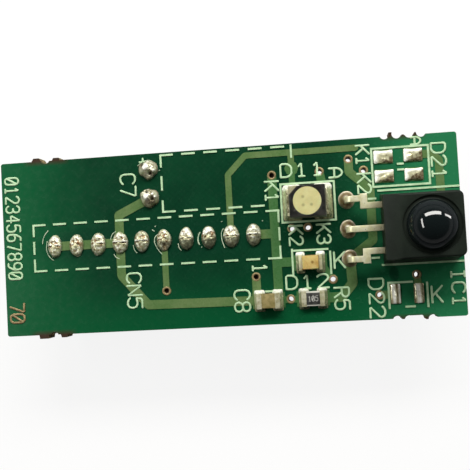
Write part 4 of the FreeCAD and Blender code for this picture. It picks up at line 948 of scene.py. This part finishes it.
strokeFont = {  # each stroke's points, with a bar between strokes
    "0": "1,0 3,0 4,1 4,5 3,6 1,6 0,5 0,1 1,0 | 0.6,1.2 3.4,4.8",
    "1": "1,4.6 2,6 2,0 | 1,0 3,0",
    "2": "0,5 1,6 3,6 4,5 4,4 0,0 4,0",
    "3": "0,5 1,6 3,6 4,5 4,4 3,3.1 1.6,3.1 | 3,3.1 4,2.2 4,1 3,0 1,0 0,1",
    "4": "3,0 3,6 0,2 4,2",
    "5": "4,6 0.4,6 0,3.4 1,4 3,4 4,3 4,1 3,0 1,0 0,1",
    "6": "3.6,6 1.8,6 0,3.6 0,1 1,0 3,0 4,1 4,2.6 3,3.5 1,3.5 0,2.6",
    "7": "0,6 4,6 1.4,0",
    "8": "1,3.1 0,4 0,5 1,6 3,6 4,5 4,4 3,3.1 1,3.1 0,2.1 0,1 1,0 3,0 4,1 4,2.1 3,3.1",
    "9": "0.4,0 2.2,0 4,2.4 4,5 3,6 1,6 0,5 0,3.4 1,2.5 3,2.5 4,3.4",
    "A": "0,0 0,4 1.2,6 2.8,6 4,4 4,0 | 0,2.4 4,2.4",
    "C": "4,5 3,6 1,6 0,5 0,1 1,0 3,0 4,1",
    "D": "0,0 0,6 2.6,6 4,4.6 4,1.4 2.6,0 0,0",
    "I": "2,0 2,6 | 1,0 3,0 | 1,6 3,6",
    "K": "0,0 0,6 | 4,6 0,2.2 | 1.4,3.4 4,0",
    "N": "0,0 0,6 4,0 4,6",
    "R": "0,0 0,6 3,6 4,5 4,4 3,3 0,3 | 2,3 4,0",
    "+": "2,1 2,5 | 0,3 4,3",
}


# Each label: its characters, where its first one starts, the way it reads, its height, pitch and width in mm.
# The start is on the front face, or from the middle of the part it is printed on. Down means turned a quarter
# clockwise.
inkLabels = {
    "corner": 0.5,  # how much of a bend is cut, in font units
    "sets": (
        dict(name="lettering", stroke=0.18, finish="ink", labels=(
            ("01234567890", -19.95, 6.5, "down", 1.25, 0.86, 0.6), ("+", -7.5, 7.42, "down", 0.85, 0.9, 0.62),
            ("C7", -9.2, 6.1, "down", 1.35, 1.13, 0.85), ("CN5", -9.05, -2.75, "down", 1.3, 1.1, 0.85),
            ("C8", 0.5, -4.75, "down", 1.35, 1.05, 0.82), ("1", 2.25, -2.55, "down", 1.3, 1.0, 0.7),
            ("K1", 3.72, 4.6, "down", 1.15, 1.0, 0.8), ("D11", 5.15, 4.9, "across", 1.15, 1.35, 0.95),
            ("A", 9.35, 5.4, "down", 1.1, 1.0, 0.8), ("K2", 5.6, 0.6, "down", 1.15, 0.95, 0.72),
            ("K3", 8.0, 0.6, "down", 1.15, 0.95, 0.72), ("K", 9.35, -3.25, "across", 1.35, 1.0, 0.9),
            ("D12", 5.1, -4.88, "across", 1.18, 1.35, 0.95), ("R5", 9.2, -4.95, "down", 1.25, 1.05, 0.82),
            ("D21", 18.1, 6.95, "down", 1.2, 1.1, 0.85), ("A", 16.45, 7.6, "down", 0.8, 0.8, 0.62),
            ("K1", 11.75, 7.2, "down", 1.1, 0.95, 0.75), ("K2", 11.75, 4.75, "down", 1.1, 0.95, 0.75),
            ("D22", 12.15, -4.35, "down", 1.25, 1.2, 0.9), ("K", 17.4, -6.6, "across", 1.35, 1.0, 0.85),
            ("IC1", 19.1, -3.9, "down", 1.1, 1.12, 0.85))),
        dict(name="copper_mark", stroke=0.2, finish="bare_copper", slot="bare_copper",
             labels=(("70", -19.95, -4.95, "down", 1.3, 0.92, 0.75),)),
        dict(name="resistor_code", stroke=0.07, finish="resistor_print", on="chip_resistor_coat",
             labels=(("105", -0.4, -0.22, "across", 0.44, 0.3, 0.2),)),
    ),
}


def makeStrokeTree(name):  # paths to flattened round strokes with round ends
    tree, given, made = newGroup(name, (("Geometry", "Geometry"), ("Width", "Float"), ("Finish", "Material")),
                                 (("Geometry", "Geometry"),), "GeometryNodeTree")
    curve = put(tree, "GeometryNodeMeshToCurve", {"Mesh": given["Geometry"]}).outputs[0]
    half = times(tree, given["Width"], 0.5)
    profile = put(tree, "GeometryNodeCurvePrimitiveCircle", {"Resolution": 10, "Radius": half}).outputs[0]
    tube = put(tree, "GeometryNodeCurveToMesh", {"Curve": curve, "Profile Curve": profile, "Fill Caps": True})
    ball = put(tree, "GeometryNodeMeshUVSphere", {"Segments": 10, "Rings": 6, "Radius": half}).outputs[0]
    points = put(tree, "GeometryNodeCurveToPoints", {0: curve}, mode="EVALUATED").outputs[0]
    dots = put(tree, "GeometryNodeInstanceOnPoints", {"Points": points, "Instance": ball})
    joined = put(tree, "GeometryNodeJoinGeometry", {0: dots.outputs[0]})
    feed(tree, joined.inputs[0], tube.outputs[0])
    real = put(tree, "GeometryNodeRealizeInstances", {0: joined.outputs[0]}).outputs[0]
    painted = put(tree, "GeometryNodeSetMaterial", {"Geometry": real, "Material": given["Finish"]})
    feed(tree, made[0], painted.outputs[0])
    return tree


def runTree(name, mesh, tree, inputs):  # a mesh sent through a tree, as a plain mesh
    carrier = newObject(f"{name}_paths", mesh)
    modifier = carrier.modifiers.new("tree", "NODES")
    modifier.node_group = tree
    for item in tree.interface.items_tree:
        if item.item_type == "SOCKET" and item.in_out == "INPUT" and item.name in inputs:
            modifier[item.identifier] = inputs[item.name]
    graph = bpy.context.evaluated_depsgraph_get()
    made = bpy.data.meshes.new_from_object(carrier.evaluated_get(graph))
    made.name = name
    carrier.modifiers.remove(modifier)
    bpy.data.objects.remove(carrier)
    return made


def roundedPath(points, cut):  # corners cut by a fixed length, so that bends look drawn
    path = [points[0]]
    for before, corner, after in zip(points, points[1:], points[2:]):
        for other in (before, after):
            share = min(0.5, cut / math.dist(corner, other))
            path.append(tuple(c + (o - c) * share for o, c in zip(other, corner)))
    return [*path, points[-1]]


def labelPaths(label):
    text, left, top, way, height, pitch, wide = label
    unit, across = height / 6, wide / 4
    for number, character in enumerate(text):
        for stroke in strokeFont[character].split(" | "):
            points = [tuple(float(share) for share in point.split(",")) for point in stroke.split()]
            path = []
            for u, v in roundedPath(points, inkLabels["corner"]):
                if way == "down":
                    path.append((left + v * unit, top - number * pitch - u * across))
                else:
                    path.append((left + number * pitch + u * across, top + v * unit))
            yield path


def makeStrokes(name, paths, stroke, level, tree, finish, slotName, flat=0.42):  # drawn lines pressed flat
    form = bmesh.new()
    for path in paths:
        line = [form.verts.new((x * mm, y * mm, level)) for x, y in path]
        for first, second in zip(line, line[1:]):
            form.edges.new((first, second))
    lines = meshFrom(form, f"{name}_paths")
    mesh = runTree(name, lines, tree, {"Width": stroke * mm, "Finish": finishes[finish]})
    for vertex in mesh.vertices:
        vertex.co.z = level + (vertex.co.z - level) * flat
    markSharp(mesh, 60.0)
    addPiece(name, mesh, finish, slotName)


def makeLettering(tree):
    for group in inkLabels["sets"]:
        level, origin = frontFace + 0.045 * mm, Vector((0, 0))
        if "on" in group:
            low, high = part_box(group["on"])
            level, origin = high.z + 0.005 * mm, ((low + high) / 2 / mm).xy
        paths = [[origin + Vector(point) for point in path]
                 for label in group["labels"] for path in labelPaths(label)]
        makeStrokes(group["name"], paths, group["stroke"], level, tree, group["finish"],
                    group.get("slot", "ink"))


# Flux left round the joints: thin pale arcs and specks

fluxTraces = {
    "stroke": 0.07, "level": 0.05, "turns": 8,
    "arcs": (  # the joint's number, header first, then the arc's start, middle and end from there in mm
        (0, (-1.16, 0.3), (-1.0, 0.95), (-0.6, 1.45)), (0, (-0.72, 0.5), (-0.76, -0.5), (-0.22, -1.24)),
        (3, (-0.84, 0.3), (-0.7, 0.75), (-0.37, 1.0)), (3, (-0.6, -1.0), (-0.42, -1.28), (-0.15, -1.4)),
        (4, (-0.8, -0.3), (-0.72, -0.7), (-0.5, -1.0)), (5, (-0.54, 0.54), (-0.87, -0.15), (-0.25, -1.24)),
        (5, (-1.02, 0.98), (-0.94, 0.9), (-0.84, 0.84)), (6, (-0.74, -0.4), (-0.68, -0.75), (-0.5, -1.0)),
        (7, (-0.76, 0.5), (-0.98, -0.07), (-0.87, -0.58)), (7, (-0.73, 0.5), (-0.93, -0.07), (-0.84, -0.58)),
        (8, (-0.65, 0.69), (-0.87, 0.07), (-0.62, -0.98)), (11, (-0.95, 0.47), (-0.03, 0.9), (0.63, 0.5)),
    ),
    "specks": ((5, -0.77, 1.24), (7, -0.69, -0.84), (8, -0.81, 1.3), (9, 0.8, 1.16), (11, 0.95, -0.1),
               (10, 0.75, 0.15)),
}


def makeFluxTraces(tree):
    look = fluxTraces
    places = [((low + high) / 2 / mm).xy for node in ("header_solder", "capacitor_solder")
              for low, high in islands(node)]
    paths = []
    for number, *marks in look["arcs"]:
        start, through, end = (places[number] + Vector(mark) for mark in marks)
        pull = through * 2 - (start + end) / 2
        shares = [part / look["turns"] for part in range(look["turns"] + 1)]
        paths.append([start * (1 - t) ** 2 + pull * 2 * t * (1 - t) + end * t * t for t in shares])
    for number, x, y in look["specks"]:
        place = places[number] + Vector((x, y))
        paths.append([place, place + Vector((0.07, 0.04))])
    makeStrokes("flux_traces", paths, look["stroke"], frontFace + look["level"] * mm, tree, "flux_film",
                "solder", flat=0.5)


strokeTree = makeStrokeTree("inkStrokes")
makeLettering(strokeTree)
makeFluxTraces(strokeTree)
print("lettering and flux made")


# Vias: round plated rings with an open bore

viaRings = {"sides": 28, "bore": 0.225, "ring": 0.4, "lip": 0.03, "wall": 0.05}


def latheForm(form, centre, section, sides, close=False):
    turns = [2 * math.pi * side / sides for side in range(sides)]
    rows = [[form.verts.new(centre + Vector((radius * math.cos(turn), radius * math.sin(turn), level)))
             for turn in turns] for radius, level in section]
    for lower, upper in zip(rows, rows[1:]):
        joinRows(form, upper, lower)
    if close:
        joinRows(form, rows[0], rows[-1])


def makeVias():
    look = viaRings
    form = bmesh.new()
    low, high = backFace, frontFace
    plating = padFace - frontFace
    bore, ring, lip, wall = (look[key] * mm for key in ("bore", "ring", "lip", "wall"))
    for first, last in islands("via_barrels"):
        middle = (first + last) / 2
        section = ((ring - lip, high + plating), (bore + lip, high + plating), (bore, high + plating - lip),
                   (bore, low - plating + lip), (bore + lip, low - plating), (ring - lip, low - plating),
                   (ring, low - plating + lip), (ring, low), (bore + wall, low), (bore + wall, high),
                   (ring, high), (ring, high + plating - lip))
        latheForm(form, Vector((middle.x, middle.y, 0)), section, look["sides"], close=True)
    bmesh.ops.recalc_face_normals(form, faces=form.faces)
    finishPatches(form, "via_rings", "bare_copper", "bare_copper", "via_barrels")


# Dark resin in three of the vias: the last one is filled, and in the first two it is painted shade inside the
# open bore

viaFillAndShade = {
    "places": ((4.35, 5.15), (-5.5, -4.45), (2.5, -3.65)), "depth": 0.25, "sides": 24, "over": 0.03,
    "tip": 0.0001, "chamfer": 0.05, "dip": 0.1,
}


def makeViaFillAndShade():
    look = viaFillAndShade
    form = newForm()
    radius = (viaRings["bore"] + look["over"]) * mm
    depth, tip, chamfer, dip = (look[key] * mm for key in ("depth", "tip", "chamfer", "dip"))
    top, low = frontFace - depth, backFace + depth
    for x, y in look["places"]:
        latheForm(form, Vector((x * mm, y * mm, 0)),
                  ((tip, low), (radius, low + chamfer), (radius, top), (tip, top - dip)), look["sides"])
    bmesh.ops.remove_doubles(form, verts=form.verts, dist=0.001 * mm)
    bmesh.ops.recalc_face_normals(form, faces=form.faces)
    # dark resin, in two of the vias standing in as painted shade inside the open bore
    finishPatches(form, "via_fill_and_shade", "resin", "laminate")


makeVias()
makeViaFillAndShade()
print("vias made")


# Floor, light and camera

stageLook = {
    "floor": (250, 250, 249), "floorSize": 1.6, "gap": 0.02, "glow": 0.87, "mirrored": (92, 94, 98),
    "zenith": 0.008, "above": 0.019, "horizon": 0.2,  # the world's light at three heights
    "lowFade": (0.2, 0.42), "highFade": (0.62, 0.93),
    "strips": (  # name, azimuth and elevation of both ends, distance and height in mm, radiance, colour
        ("windowLamp", (51, 31), (128, 36), 170, 40, 15.6, (1.0, 0.985, 0.93)),
        ("doorLamp", (36, 24), (17, 4), 150, 20, 12.5, (1.0, 0.98, 0.94)),
        ("leftLamp", (150, 33), (196, 44), 150, 17, 12.4, (1.0, 0.985, 0.94)),
    ),
}


def makeFloor():
    look = stageLook
    form = bmesh.new()
    bmesh.ops.create_grid(form, x_segments=1, y_segments=1, size=look["floorSize"] / 2,
                          matrix=Matrix.Translation((0, 0, -look["gap"] * mm)))
    floor = newObject("floor", meshFrom(form, "floor"))
    material = bpy.data.materials.new("floorPaper")
    material.use_nodes = True
    tree = material.node_tree
    shader = tree.nodes["Principled BSDF"]
    shader.inputs["Base Color"].default_value = paint(*look["floor"])
    shader.inputs["Roughness"].default_value = 0.9
    shader.inputs["Specular IOR Level"].default_value = 0.1
    rays = put(tree, "ShaderNodeLightPath").outputs
    white = put(tree, "ShaderNodeEmission").outputs[0]
    dim = put(tree, "ShaderNodeBsdfDiffuse", {"Color": paint(*look["mirrored"])}).outputs[0]
    direct = maths(tree, "MAXIMUM", rays["Is Camera Ray"], rays["Is Transmission Ray"])
    glowing = times(tree, direct, look["glow"])
    seen = put(tree, "ShaderNodeMixShader", {0: glowing, 1: shader.outputs[0], 2: white}).outputs[0]
    mix = put(tree, "ShaderNodeMixShader", {0: rays["Is Glossy Ray"], 1: seen, 2: dim})
    feed(tree, tree.nodes["Material Output"].inputs["Surface"], mix.outputs[0])
    floor.data.materials.append(material)


def towards(azimuth, elevation):
    turn, lift = math.radians(azimuth), math.radians(elevation)
    return Vector((math.cos(lift) * math.cos(turn), math.cos(lift) * math.sin(turn), math.sin(lift)))


def makeWorld():
    look = stageLook
    world = bpy.data.worlds.new("studio")
    bpy.context.scene.world = world
    world.use_nodes = True
    tree = world.node_tree
    background = tree.nodes["Background"].inputs
    background["Color"].default_value = (1.0, 1.0, 1.0, 1.0)
    height = located(tree, "Generated")[2]
    fill = spread(tree, height, look["horizon"], look["above"], *look["lowFade"], smooth=True)
    darker = spread(tree, height, 0.0, look["above"] - look["zenith"], *look["highFade"])
    fill = maths(tree, "SUBTRACT", fill, darker)
    rays = put(tree, "ShaderNodeLightPath").outputs
    feed(tree, background["Strength"], maths(tree, "MAXIMUM", fill, rays["Is Camera Ray"]))


def makeLamps():
    low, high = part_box("receiver_body")
    aim = Vector((high.x - receiverLook["domeBack"] * mm, (low.y + high.y) / 2, high.z))
    for name, first, last, distance, height, radiance, colour in stageLook["strips"]:
        start, end = (aim + towards(*place) * distance * mm for place in (first, last))
        light = bpy.data.lights.new(name, "AREA")
        light.shape = "RECTANGLE"
        light.size, light.size_y = (end - start).length, height * mm
        light.energy = radiance * math.pi * light.size * light.size_y
        light.color = colour
        back = ((start + end) / 2 - aim).normalized()  # an area lamp shines along its own -Z
        across = (end - start).normalized()
        back = (back - across * back.dot(across)).normalized()
        turned = Matrix((across, back.cross(across), back)).transposed().to_4x4()
        newObject(name, light).matrix_world = Matrix.Translation((start + end) / 2) @ turned


cameraLook = {"place": (8.6564, -2.7532, 75.728), "turn": (2.0415, 6.6669, -3.1589), "lens": 59.87}


def makeCamera():
    look = cameraLook
    view = bpy.data.cameras.new("photoCamera")
    view.lens = look["lens"]
    view.sensor_width = 36.0
    view.clip_start, view.clip_end = 1 * mm, 10.0
    camera = newObject("photoCamera", view)
    camera.location = Vector(look["place"]) * mm
    camera.rotation_euler = [math.radians(turn) for turn in look["turn"]]
    bpy.context.scene.camera = camera


makeFloor()
makeWorld()
makeLamps()
makeCamera()
bpy.context.scene.view_settings.view_transform = "Standard"
print("stage made")
